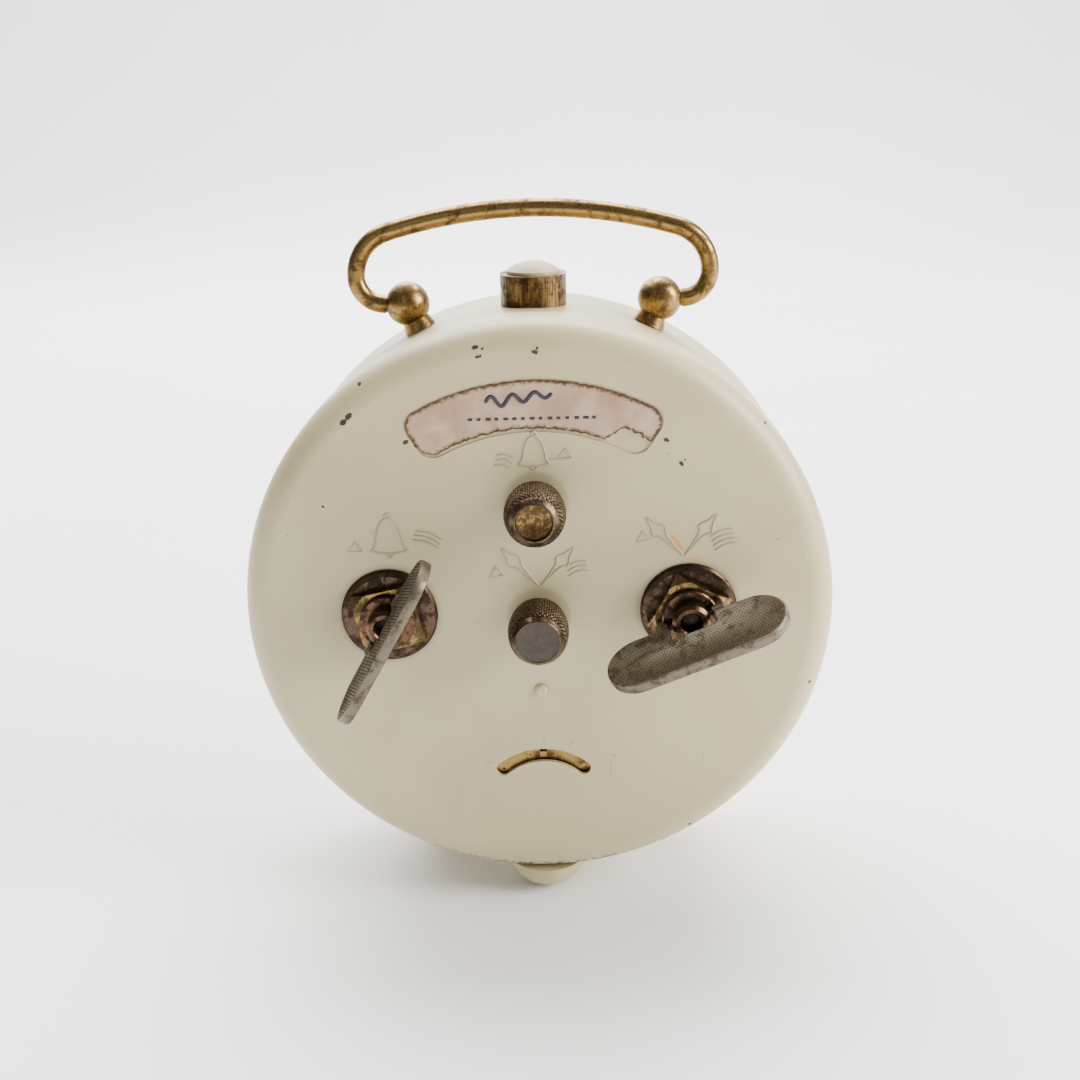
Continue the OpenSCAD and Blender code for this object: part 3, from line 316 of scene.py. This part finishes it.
BRASS = (srgb(136, 109, 64), srgb(84, 64, 38), srgb(34, 26, 20))
mats = {
    "cover": stained_enamel("back_enamel", CHIPS).material,
    "enamel": enamel("case_enamel", CHIPS[14:15]).material,
    # Painted shade: the embossed signs are the back's own enamel, drawn darker so their ridges read as shaded
    # lines
    "sign": printed("sign_enamel_painted_shade", srgb(158, 147, 115), 0.1, 0.5).material,
    "brass": aged_metal("aged_brass", *BRASS, amount=0.5, rough=0.26, grain=0.42).material,
    "collar": aged_metal("streaked_brass", srgb(122, 97, 62), srgb(78, 60, 39), srgb(36, 28, 22), amount=0.6,
                         rough=0.36, grain=0.5, streak=(2.2, 2.2, 0.25)).material,
    "bronze": aged_metal("dark_bronze", srgb(74, 58, 46), srgb(48, 38, 32), srgb(24, 19, 17), amount=0.6,
                         rough=0.24, grain=0.5).material,
    "nut": aged_metal("nut_bronze", srgb(122, 99, 62), srgb(76, 60, 41), srgb(28, 22, 18), amount=0.6,
                      rough=0.22, grain=0.4).material,
    "hub": aged_metal("red_brass", srgb(84, 63, 48), srgb(54, 38, 31), srgb(25, 18, 16), amount=0.55,
                      rough=0.22, grain=0.6).material,
    "knurl": knurled("knurled_bronze").material,
    "disc": printed("disc_lacquer", srgb(56, 47, 38), 0.1, 0.5, 0.4).material,
    "dish": aged_metal("dished_brass", srgb(124, 99, 58), srgb(76, 59, 38), srgb(40, 30, 22), amount=0.75,
                       rough=0.25, grain=1.1).material,
    "steel": aged_metal("worn_steel", srgb(104, 96, 84), srgb(84, 73, 59), srgb(50, 38, 29), amount=0.5,
                        rough=0.42, grain=0.45).material,
    "dot": aged_metal("dark_dots", srgb(52, 42, 34), srgb(44, 34, 28), srgb(26, 20, 17), amount=0.5,
                      rough=0.5, grain=0.45).material,
    # Painted shade: the arbors' steel is drawn far darker than the movement's steel, so their ends read as the
    # dark holes in the hubs
    "shade_darkened_steel": plain_metal("shade_darkened_steel", srgb(58, 52, 48), srgb(40, 36, 33)).material,
    "plain_brass": plain_metal("movement_brass", srgb(206, 172, 98), srgb(182, 146, 78)).material,
    "plain_steel": plain_metal("movement_steel", srgb(176, 176, 172), srgb(140, 138, 134)).material,
    "paper": paper("label_paper").material,
    "glass": glass("clock_glass").material,
    "dial": enamel("dial_lacquer").material,
    "ink": printed("dial_ink", srgb(34, 30, 28)).material,
    "label_ink": printed("label_ink", srgb(36, 32, 38), 0.15).material,
    "hand": printed("hand_lacquer", srgb(38, 32, 28), 0.1, 0.35).material,
}
SLOT_MATERIAL = {
    "enamel": "enamel", "brass": "brass", "bronze": "bronze", "movement_brass": "plain_brass",
    "steel": "plain_steel", "worn_steel": "steel", "glass": "glass", "dial": "dial", "paper": "paper",
}
NODE_MATERIAL = {
    "back_cover": "cover", "button_collar": "collar", "square_nuts": "nut",
    "time_hub": "hub", "alarm_hub": "hub", "arbor_bushings": "hub",
    "minute_hand": "hand", "hour_hand": "hand", "alarm_hand": "brass",
    "regulator": "brass", "time_arbor": "shade_darkened_steel", "alarm_arbor": "shade_darkened_steel",
}
for part in frame["record"]["subparts"]:
    key = NODE_MATERIAL.get(part["node"], SLOT_MATERIAL[part["material_slot"]])
    nodes[part["node"]].data.materials.clear()
    nodes[part["node"]].data.materials.append(mats[key])


# ---- Mesh helpers ----

def piece(name, points, faces, key, body="case", slot=None, replaces=(), place=BACK, sharp=35):
    """A mesh piece from points in a frame's own millimetres, shaded smooth except at sharp edges."""
    mesh = bpy.data.meshes.new(name)
    mesh.from_pydata([place @ Vector(p) for p in points], [], faces)
    mesh.validate()
    mesh.shade_smooth()
    mesh.set_sharp_from_angle(angle=math.radians(sharp))
    made = bpy.data.objects.new(name, mesh)
    bpy.context.scene.collection.objects.link(made)
    made.data.materials.append(mats[key])
    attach(made, body)
    if replaces:
        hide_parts(*replaces)
    return made


def grid_faces(rows, columns, wrap=False):
    """Quads over rows of points; wrap joins the last column to the first."""
    faces = []
    for i in range(rows - 1):
        for j in range(columns if wrap else columns - 1):
            k = (j + 1) % columns
            faces.append((i * columns + j, i * columns + k, (i + 1) * columns + k, (i + 1) * columns + j))
    return faces


def arc(centre, radius, start, end, steps):
    """Points on a circle between two angles in degrees."""
    turns = [math.radians(start + (end - start) * i / steps) for i in range(steps + 1)]
    return [(centre[0] + radius * math.cos(t), centre[1] + radius * math.sin(t)) for t in turns]


def tube_mesh(paths, radius, sides=8, flat=1.0):
    """Closed round tubes along paths of (x, y, z) points; flat squeezes them along z."""
    points, faces = [], []
    for path in paths:
        path = [Vector(p) for p in path]
        base = len(points)
        for i, p in enumerate(path):
            ahead = (path[min(i + 1, len(path) - 1)] - path[max(i - 1, 0)]).normalized()
            across = ahead.cross(Vector((0, 0, 1))).normalized()
            other = across.cross(ahead)
            end = 0.55 if i in (0, len(path) - 1) else 1.0
            for k in range(sides):
                turn = math.tau * k / sides
                step = across * math.cos(turn) + other * (math.sin(turn) * flat)
                points.append(tuple(p + step * radius * end))
        rows = len(path)
        faces += [tuple(base + v for v in face) for face in grid_faces(rows, sides, wrap=True)]
        faces.append(tuple(base + k for k in range(sides)))
        faces.append(tuple(base + (rows - 1) * sides + k for k in reversed(range(sides))))
    return points, faces


# ---- Knobs ----

KNURL_COUNT = 36
KNURL_DEEP = 0.26


def knob(name, profile, up, body, replaced, knurl_from, knurl_to):
    """A turned knob; between two heights its side is cut into diamonds by crossed grooves."""
    around = KNURL_COUNT * 8
    rows = []
    for (r0, z0), (r1, z1) in zip(profile, profile[1:]):
        steps = max(1, round(abs(z1 - z0) / 0.09)) if min(z0, z1) >= knurl_from - 0.01 \
            and max(z0, z1) <= knurl_to + 0.01 else 2
        rows += [(r0 + (r1 - r0) * i / steps, z0 + (z1 - z0) * i / steps) for i in range(steps)]
    rows.append(profile[-1])
    points, grooves = [], []
    for radius, out in rows:
        for k in range(around):
            turn = math.tau * k / around
            depth = KNURL_DEEP * 0.5
            if knurl_from <= out <= knurl_to:
                fade = min(1, (out - knurl_from) / 0.3, (knurl_to - out) / 0.3)
                lead = out / (math.tau * 4.4) * KNURL_COUNT
                first = abs((KNURL_COUNT * k / around + lead) % 1 * 2 - 1)
                second = abs((KNURL_COUNT * k / around - lead) % 1 * 2 - 1)
                depth = KNURL_DEEP * (0.5 + fade * (max(first, second) ** 1.4 - 0.5))
            grooves.append(depth / KNURL_DEEP)
            points.append(((radius - depth) * math.sin(turn), up + (radius - depth) * math.cos(turn), out))
    faces = grid_faces(len(rows), around, wrap=True)
    faces = [tuple(reversed(face)) for face in faces]
    faces.append(tuple(range(around)))
    last = (len(rows) - 1) * around
    faces.append(tuple(last + k for k in reversed(range(around))))
    made = piece(name, points, faces, "knurl", body, "bronze", replaced, sharp=60)
    made.data.attributes.new("groove", "FLOAT", "POINT").data.foreach_set("value", grooves)
    return made


ALARM_UP = joints["alarm_set"]["pos_m"][2] / MM - AXIS_Z / MM
# Profiles from the back outwards: radius and height over the flat back
KNOB_SIDE = [(3.3, 0.8), (3.7, 1.0), (4.1, 1.9), (4.4, 3.2), (4.55, 4.6), (4.55, 6.2)]
HAND_KNOB = KNOB_SIDE + [(4.3, 8.0), (3.95, 8.8), (3.75, 9.1), (3.6, 9.4), (3.45, 9.6), (3.3, 9.6),
                         (3.2, 9.4), (0.4, 9.35)]
ALARM_KNOB = KNOB_SIDE + [(4.2, 8.0), (3.7, 8.9), (3.3, 9.3), (3.0, 9.6), (2.8, 9.6), (2.65, 9.3), (2.6, 8.4),
                          (0.4, 8.35)]
knob("hand_knob_knurled", HAND_KNOB, 0, "hand_setting", ("hand_knob",), 1.9, 8.8)
knob("alarm_knob_knurled", ALARM_KNOB, ALARM_UP, "alarm_setting", ("alarm_knob",), 1.9, 8.9)


def dished_disc(name, up, body, radius, out, deep, key):
    """The arbor's end in a knob: a shallow, hammered dish."""
    rings, around = 10, 48
    points = [(0, up, out - deep)]
    for i in range(1, rings + 1):
        share = i / rings
        for k in range(around):
            turn = math.tau * k / around
            x, y = radius * share * math.cos(turn), radius * share * math.sin(turn)
            rough = noise.noise(Vector((x * 0.9, y * 0.9, 3.1))) * 0.12 * (1 - share ** 4)
            points.append((x, up + y, out - deep * (1 - share ** 2) + rough))
    faces = [(0, 1 + k, 1 + (k + 1) % around) for k in range(around)]
    faces += [tuple(reversed([v + 1 for v in face])) for face in grid_faces(rings, around, wrap=True)]
    rim = 1 + (rings - 1) * around
    back = len(points)
    points += [(points[rim + k][0], points[rim + k][1], out - 0.9) for k in range(around)]
    faces += [(rim + k, back + k, back + (k + 1) % around, rim + (k + 1) % around) for k in range(around)]
    faces.append(tuple(back + k for k in reversed(range(around))))
    return piece(name, points, faces, key, body, "bronze")


dished_disc("alarm_knob_end", ALARM_UP, "alarm_setting", 2.6, 9.1, 0.55, "dish")
dished_disc("hand_knob_end", 0, "hand_setting", 3.2, 9.5, 0.05, "disc")


# ---- Handle ----

ROD_R = 1.4
HANDLE_CURL, HANDLE_CORNER = 4.2, 7.0
PIVOT_THIN = 0.74  # share of the rod's radius that its ends have inside the balls
PIVOT_END = 22.4


def handle():
    """Round brass rod in one smooth curve: a curled end at each ball, a corner and a shallow arch."""
    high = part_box("handle")[1]
    ball_up = joints["handle_swing"]["pos_m"][2] / MM
    out = joints["handle_swing"]["pos_m"][1] / MM
    side = high.x / MM - ROD_R
    rise = high.z / MM - ROD_R - ball_up
    curl, corner = HANDLE_CURL, HANDLE_CORNER
    reach, drop = side - corner, rise - curl
    arch = (reach ** 2 + drop ** 2 - corner ** 2) / (2 * (drop - corner))
    turn = math.degrees(math.acos(reach / (arch - corner)))
    half = arc((side - curl, curl), curl, -90, 0, 14)
    half += arc((reach, curl), corner, 0, turn, 12)[1:]
    half += arc((0, rise - arch), arch, turn, 90, 30)[1:]
    stub = [(19.2 + i * 0.6, 0) for i in range(7)]
    half = [p for p in stub if p[0] < half[0][0] - 0.3] + half
    path = half + [(-x, y) for x, y in reversed(half[:-1])]
    places = [(x, ball_up + y) for x, y in path]
    sides = 24
    points = []
    for i, (x, z) in enumerate(places):
        before, after = places[max(i - 1, 0)], places[min(i + 1, len(places) - 1)]
        ahead = Vector((after[0] - before[0], 0, after[1] - before[1])).normalized()
        across = Vector((-ahead.z, 0, ahead.x))
        thin = PIVOT_THIN if abs(x) < PIVOT_END and z < ball_up + 1 else 1.0
        for k in range(sides):
            angle = math.tau * k / sides
            step = across * math.cos(angle) + Vector((0, 1, 0)) * math.sin(angle)
            points.append(Vector((x, out, z)) + step * ROD_R * thin)
    faces = [tuple(reversed(face)) for face in grid_faces(len(places), sides, wrap=True)]
    faces.append(tuple(range(sides)))
    faces.append(tuple((len(places) - 1) * sides + k for k in reversed(range(sides))))
    piece("handle_rod", points, faces, "brass", "handle", "brass", ("handle",), place=Matrix.Scale(MM, 4))


handle()


# ---- Key wings ----

WING_LEN, WING_H, WING_T = 27.7, 10.7, 1.6
WING_END, NOTCH_HALF, NOTCH_DEEP = 5.1, 3.5, 3.4
EAR_R, EAR_FROM, EAR_TO = 1.0, 3.45, 5.4
WING_FOLD = {"time_wing_fold": -15, "alarm_wing_fold": -4}
DOT_PITCH, DOT_R, DOT_HIGH = 0.54, 0.15, 0.04
FIELD_EDGE = 0.5


def wing_frame(name):
    """A wing's own frame: x along it, y away from the hinge and z through its thickness."""
    joint = joints[name]
    turn = math.atan2(joint["axis"][2], joint["axis"][0])
    return (Matrix.Translation(joint["pos_m"]) @ Matrix.Rotation(math.radians(90), 4, "X")
            @ Matrix.Rotation(turn, 4, "Z") @ Matrix.Rotation(math.radians(WING_FOLD[name]), 4, "X")
            @ Matrix.Rotation(math.radians(-90), 4, "X") @ Matrix.Scale(MM, 4))


def wing_outline(inset):
    """The wing's outline, moved in by an inset: a long round-ended plate notched round the hub."""
    half, end = WING_LEN / 2 - WING_END, WING_END - inset
    middle = WING_H - WING_END
    notch, deep, low = NOTCH_HALF + inset, NOTCH_DEEP + inset, WING_H - 2 * WING_END + inset
    right = arc((half, middle), end, -90, 90, 24)
    left = arc((-half, middle), end, 90, 270, 24)
    inner = [(-notch, low), *[(x, y) for x, y in arc((-notch + 0.6, deep - 0.6), 0.6, 180, 90, 5)],
             *[(x, y) for x, y in arc((notch - 0.6, deep - 0.6), 0.6, 90, 0, 5)], (notch, low)]
    return right + left + inner


def in_field(x, y, edge):
    """Whether a point lies on the wing's face, at least an edge away from its outline."""
    half, middle = WING_LEN / 2 - WING_END, WING_H - WING_END
    away = math.hypot(max(abs(x) - half, 0), y - middle)
    if away > WING_END - edge:
        return False
    return not (abs(x) < NOTCH_HALF + edge and y < NOTCH_DEEP + edge)


def wing(name, body, joint_name):
    """A pressed wing: rounded edges, a raised rim round a sunk field of dots, and two hinge ears."""
    place = wing_frame(joint_name)
    loops = ((0.0, -WING_T / 2 + 0.25), (0.08, -WING_T / 2 + 0.07), (0.2, -WING_T / 2), (0.34, -WING_T / 2),
             (0.46, -WING_T / 2 + 0.08))
    stations = [*reversed(loops), *[(inset, -z) for inset, z in loops]]
    points, count = [], len(wing_outline(0))
    for inset, z in stations:
        points += [(x, y, z) for x, y in wing_outline(inset)]
    faces = [tuple(reversed(face)) for face in grid_faces(len(stations), count, wrap=True)]
    faces.append(tuple(range(count)))
    faces.append(tuple((len(stations) - 1) * count + k for k in reversed(range(count))))
    for side in (-1, 1):
        base = len(points)
        spans = ((EAR_FROM, 0.68), (EAR_FROM, EAR_R - 0.1), (EAR_FROM + 0.1, EAR_R), (EAR_TO - 0.15, EAR_R),
                 (EAR_TO, EAR_R - 0.15))
        for x, r in spans:
            points += [(side * x, r * math.cos(math.tau * k / 24), r * math.sin(math.tau * k / 24))
                       for k in range(24)]
        rings = grid_faces(len(spans), 24, wrap=True) + [tuple((len(spans) - 1) * 24 + k for k in range(24))]
        faces += [tuple(base + v for v in (reversed(f) if side > 0 else f)) for f in rings]
    piece(name, points, faces, "steel", body, "worn_steel", (body,), place)
    dots, caps = [], []
    columns, rows = int(WING_LEN / DOT_PITCH / 2) + 1, int(WING_H / DOT_PITCH) + 1
    for face_side in (-1, 1):
        level = face_side * (WING_T / 2 - 0.08)
        for i in range(-columns, columns + 1):
            for j in range(rows):
                x, y = (i + 0.5 * (j % 2)) * DOT_PITCH, j * DOT_PITCH
                if not in_field(x, y, FIELD_EDGE + DOT_R):
                    continue
                base = len(dots)
                for r, rise in ((DOT_R, -0.02), (DOT_R * 0.6, DOT_HIGH)):
                    dots += [(x + r * math.cos(math.tau * k / 6), y + r * math.sin(math.tau * k / 6),
                              level + face_side * rise) for k in range(6)]
                ring = [(base + k, base + (k + 1) % 6, base + 6 + (k + 1) % 6, base + 6 + k)
                        for k in range(6)]
                ring += [tuple(base + 6 + k for k in range(6)), tuple(base + k for k in reversed(range(6)))]
                caps += ring if face_side > 0 else [tuple(reversed(f)) for f in ring]
    piece(name + "_dots", dots, caps, "dot", body, "worn_steel", (), place, sharp=80)


wing("time_key_wing", "time_wing", "time_wing_fold")
wing("alarm_key_wing", "alarm_wing", "alarm_wing_fold")


# ---- Paper label ----

LABEL_IN, LABEL_OUT, LABEL_HALF = 29.15, 36.85, 32.2
LABEL_LEVEL = -0.17
draw = random.Random(7)


def label():
    """A band of old paper with an uneven outline, round ends and one corner torn away."""
    columns, rows = 160, 22
    points, edges = [], []
    for i in range(columns + 1):
        angle = -LABEL_HALF + 2 * LABEL_HALF * i / columns
        from_end = (LABEL_HALF - abs(angle)) * math.pi / 180 * 33
        round_off = 2.4 - math.sqrt(max(0, 2.4 ** 2 - max(0, 2.4 - from_end) ** 2))
        wobble_in = noise.noise(Vector((angle * 0.45, 0.3, 1))) * 0.35
        wobble_in += noise.noise(Vector((angle * 1.7, 5, 1))) * 0.16
        wobble_out = noise.noise(Vector((angle * 0.5, 7.7, 2))) * 0.22
        wobble_out += noise.noise(Vector((angle * 1.9, 9, 3))) * 0.12
        torn = 2.6 * max(0, min(1, (angle - 20.5) / 3.5)) if angle > 20.5 else 0
        torn += noise.noise(Vector((angle * 1.3, 2.2, 8))) * 0.5 if angle > 21 else 0
        inner = LABEL_IN + 0.25 + abs(wobble_in) + max(round_off, torn)
        outer = LABEL_OUT - 0.2 - abs(wobble_out) - round_off
        for j in range(rows + 1):
            radius = inner + (outer - inner) * j / rows
            turn = math.radians(angle)
            away = min(radius - inner, outer - radius, from_end + 0.05)
            ripple = noise.noise(Vector((radius * 0.35, angle * 0.2, 4))) * 0.05
            lift = LABEL_LEVEL + 0.06 + ripple
            points.append((radius * math.sin(turn), radius * math.cos(turn), lift))
            edges.append(away)
    top = len(points)
    points += [(x, y, LABEL_LEVEL - 0.1) for x, y, z in points]
    edges += edges
    faces = [tuple(reversed(face)) for face in grid_faces(columns + 1, rows + 1)]
    faces += [tuple(top + v for v in reversed(face)) for face in faces]
    rim = [i * (rows + 1) for i in range(columns + 1)]
    rim += [columns * (rows + 1) + j for j in range(1, rows + 1)]
    rim += [i * (rows + 1) + rows for i in reversed(range(columns))]
    rim += [j for j in reversed(range(1, rows))]
    faces += [(a, top + a, top + b, b) for a, b in zip(rim, rim[1:] + rim[:1])]
    made = piece("torn_label", points, faces, "paper", "case", "paper", ("paper_label",), sharp=50)
    attribute = made.data.attributes.new("edge", "FLOAT", "POINT")
    attribute.data.foreach_set("value", edges)
    starts = [-9.4 + 1.28 * i for i in range(15)]
    rule = [[(x, 31.0, LABEL_LEVEL + 0.1) for x in (start, start + draw.uniform(0.5, 0.9))]
            for start in starts]
    swash = [(-6.8 + 9.6 * t, 33.4 + 0.9 * math.sin(t * 19) * (1 - 0.5 * t) + 1.2 * t, LABEL_LEVEL + 0.1)
             for t in [i / 60 for i in range(61)]]
    piece("label_flourish", *tube_mesh([swash], 0.3, 8, 0.3), "label_ink", "case", "paper")
    piece("label_rule", *tube_mesh(rule, 0.4, 8, 0.25), "label_ink", "case", "paper")


label()


# ---- Embossed signs ----

SIGN_R = 0.19
SIGN_LEVEL = -0.04


def curve(points, steps=6):
    """A smooth line through a few points."""
    ends = [points[0], *points, points[-1]]
    line = []
    for i in range(len(points) - 1):
        a, b, c, d = ends[i:i + 4]
        for k in range(steps):
            t = k / steps
            line.append(tuple(0.5 * (2 * q + (r - p) * t + (2 * p - 5 * q + 4 * r - s) * t * t
                                     + (3 * q - p - 3 * r + s) * t ** 3) for p, q, r, s in zip(a, b, c, d)))
    return [*line, tuple(points[-1])]


def moved(lines, x, up, scale=1.0, turn=0.0):
    """Lines of (x, y) points turned, scaled and moved, ready for a tube on the flat back."""
    cosine, sine = math.cos(math.radians(turn)), math.sin(math.radians(turn))
    return [[(x + scale * (px * cosine - py * sine), up + scale * (px * sine + py * cosine), SIGN_LEVEL)
             for px, py in line] for line in lines]


BELL = [curve([(-2.5, 0), (-1.9, 0.6), (-1.45, 2.6), (-0.9, 3.9), (0, 4.5), (0.9, 3.9), (1.45, 2.6),
               (1.9, 0.6), (2.5, 0)]),
        curve([(-2.5, 0), (0, -0.35), (2.5, 0)]), curve([(-0.5, -0.4), (0, -0.95), (0.5, -0.4)]),
        arc((0, 4.8), 0.35, -90, 250, 8)]
ARROW_HEAD = [[(-1.1, 0), (0.2, 1.5), (1.1, 0), (-1.1, 0)]]
SPADE = curve([(0, 0), (0.35, 4.2), (1.1, 5.4), (0.5, 6.6), (0, 8.2), (-0.5, 6.6), (-1.1, 5.4),
               (-0.35, 4.2), (0, 0)], 4)


def swing_marks(count, length, gap):
    """Short curved marks, one above the other, that show which way a part turns."""
    return [curve([(0, i * gap), (length * 0.5, i * gap + 0.45), (length, i * gap + 0.2)])
            for i in range(count)]


signs = (
    moved(BELL, 0, 24.2, 0.95)
    + moved(ARROW_HEAD, 4.4, 25.0) + moved([[(2.2, 0.2), (5.2, 0.2)]], 0, 24.7)
    + moved(swing_marks(3, 2.6, 0.8), -5.9, 24.1, 1.0, -14)
    + moved(BELL, -22.0, 11.2, 1.15)
    + moved(ARROW_HEAD, -27.2, 11.2) + moved(swing_marks(3, 4.2, 0.75), -18.6, 12.9, 1.0, -24)
    + moved([SPADE], 21.9, 9.4, 1.02, 42) + moved([SPADE], 21.9, 9.4, 0.98, -36)
    + moved(ARROW_HEAD, 15.8, 12.0, 1.0, 12) + moved(swing_marks(4, 3.6, 0.75), 26.4, 10.2, 1.0, 18)
    + moved([SPADE], 0.3, 5.0, 1.02, 42) + moved([SPADE], 0.3, 5.0, 0.98, -40)
    + moved(ARROW_HEAD, -6.2, 6.8, 1.0, 12) + moved(swing_marks(3, 3.2, 0.75), 4.6, 6.6, 1.0, 14)
    + moved([[(0, -1.3), (0, 1.3)]], 10.7, -26.0)
    + moved([[(0, 0), (0, 1.0)]], 0.2, -21.4, 1.0, 0) + moved([[(0, 0), (0, 0.9)]], -3.8, -21.9, 1.0, 22)
    + moved([[(0, 0), (0, 0.9)]], 4.2, -21.9, 1.0, -22) + moved([[(-0.6, 0), (0.6, 0)]], -8.6, -24.6)
)
# The signs take the darker sign enamel: painted shade on the embossed ridges
piece("embossed_signs", *tube_mesh(signs, SIGN_R, 8), "sign", "case", "enamel", sharp=80)


# ---- Dial print ----

def dial_print():
    """Minute marks and numerals printed on the dial."""
    points, faces = [], []
    for minute in range(60):
        long, wide = (2.6, 0.5) if minute % 5 == 0 else (1.3, 0.22)
        turn = math.radians(6 * minute)
        base = len(points)
        for z in (-0.02, 0.05):
            for r, side in ((37.6, -1), (37.6, 1), (37.6 - long, 1), (37.6 - long, -1)):
                points.append((r * math.sin(turn) + side * wide / 2 * math.cos(turn),
                               r * math.cos(turn) - side * wide / 2 * math.sin(turn), z))
        box = ((0, 1, 2, 3), (7, 6, 5, 4), (0, 4, 5, 1), (1, 5, 6, 2), (2, 6, 7, 3), (3, 7, 4, 0))
        faces += [tuple(base + v for v in face) for face in box]
    for k in range(2):
        base = len(points)
        radius = (37.75, 34.6)[k]
        for r in (radius - 0.09, radius + 0.09):
            for z in (-0.02, 0.05):
                points += [(r * math.sin(math.tau * i / 180), r * math.cos(math.tau * i / 180), z)
                           for i in range(180)]
        for first, second in ((0, 1), (1, 3), (3, 2), (2, 0)):
            faces += [(base + first * 180 + i, base + first * 180 + (i + 1) % 180,
                       base + second * 180 + (i + 1) % 180, base + second * 180 + i) for i in range(180)]
    piece("dial_marks", points, faces, "ink", "case", "dial", (), FRONT)
    for hour in range(1, 13):
        text = bpy.data.curves.new(f"numeral_{hour}", "FONT")
        text.body = str(hour)
        text.size = 8.2
        text.align_x, text.align_y = "CENTER", "CENTER"
        text.extrude = 0.035
        text.offset = 0.12
        turn = math.radians(30 * hour)
        made = bpy.data.objects.new(f"numeral_{hour}", text)
        bpy.context.scene.collection.objects.link(made)
        made.matrix_world = FRONT @ Matrix.Translation((28.6 * math.sin(turn), 28.6 * math.cos(turn), 0.03))
        text.materials.append(mats["ink"])
        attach(made, "case")


dial_print()


# ---- Stage, lights and camera ----

def stage_material():
    shade = Shade("pale_floor", Roughness=0.8, Specular_IOR_Level=0.2)
    clouds = shade.ramp(shade.noise(0.01, 3), 0.3, 0.7)
    shade.link(shade.blend(clouds, (0.92, 0.92, 0.915, 1), (0.9, 0.9, 0.895, 1)), "Base Color")
    return shade.material


def stage():
    """A pale floor that curves up into a backdrop behind the clock."""
    profile = [(1.5, 0.0), (-0.7, 0.0)]
    profile += [(-0.7 + y, z + 0.5) for y, z in arc((0, 0), 0.5, -90, -180, 24)][1:]
    profile.append((-1.2, 2.2))
    points = [(x, y, z) for y, z in profile for x in (-2.5, 2.5)]
    mesh = bpy.data.meshes.new("floor")
    mesh.from_pydata(points, [], [tuple(reversed(f)) for f in grid_faces(len(profile), 2)])
    mesh.shade_smooth()
    floor = bpy.data.objects.new("floor", mesh)
    mesh.materials.append(stage_material())
    bpy.context.scene.collection.objects.link(floor)


def area_light(name, place, target, size, watts, colour=(1, 1, 1)):
    lamp = bpy.data.lights.new(name, "AREA")
    lamp.shape = "RECTANGLE"
    lamp.size, lamp.size_y = size
    lamp.energy = watts
    lamp.color = colour
    made = bpy.data.objects.new(name, lamp)
    made.location = place
    made.rotation_euler = (Vector(target) - Vector(place)).to_track_quat("-Z", "Y").to_euler()
    bpy.context.scene.collection.objects.link(made)


def camera():
    """The photograph's view: behind the clock, a little above it and almost square on."""
    position = Vector((-6.143, 202.352, 130.376)) * MM
    yaw, down, roll = (math.radians(a) for a in (0.768, 19.635, -1.410))
    ahead = Vector((math.sin(yaw) * math.cos(down), -math.cos(yaw) * math.cos(down), -math.sin(down)))
    level = ahead.cross(Vector((0, 0, 1))).normalized()
    upward = level.cross(ahead)
    right = level * math.cos(roll) + upward * math.sin(roll)
    top = upward * math.cos(roll) - level * math.sin(roll)
    lens = bpy.data.cameras.new("camera")
    lens.lens = 45.76
    lens.sensor_width = 36
    lens.clip_start = 0.01
    lens.shift_x = -0.0194
    lens.shift_y = 0.00673
    made = bpy.data.objects.new("camera", lens)
    bpy.context.scene.collection.objects.link(made)
    basis = Matrix((right, top, -ahead)).transposed().to_4x4()
    made.matrix_world = Matrix.Translation(position) @ basis
    bpy.context.scene.camera = made


stage()
area_light("key", (-0.62, 0.16, 0.34), (0, 0, 0.05), (0.35, 0.5), 12.0, (1.0, 0.98, 0.94))
area_light("fill", (0.35, 0.75, 0.5), (0, 0, 0.05), (0.6, 0.6), 0.7, (0.95, 0.98, 1.0))
area_light("top", (0.05, -0.42, 0.95), (0, 0, 0), (1.2, 0.7), 36.0)
area_light("backdrop", (0, -0.75, 1.1), (0, -1.2, 0.5), (1.6, 0.4), 16.0)
area_light("front", (0.2, -0.7, 0.45), (0, 0, 0.05), (0.6, 0.5), 4.0)
world = bpy.data.worlds.new("studio")
bpy.context.scene.world = world
world.use_nodes = True
world.node_tree.nodes["Background"].inputs["Color"].default_value = (0.97, 0.98, 1.0, 1)
world.node_tree.nodes["Background"].inputs["Strength"].default_value = 0.22
camera()
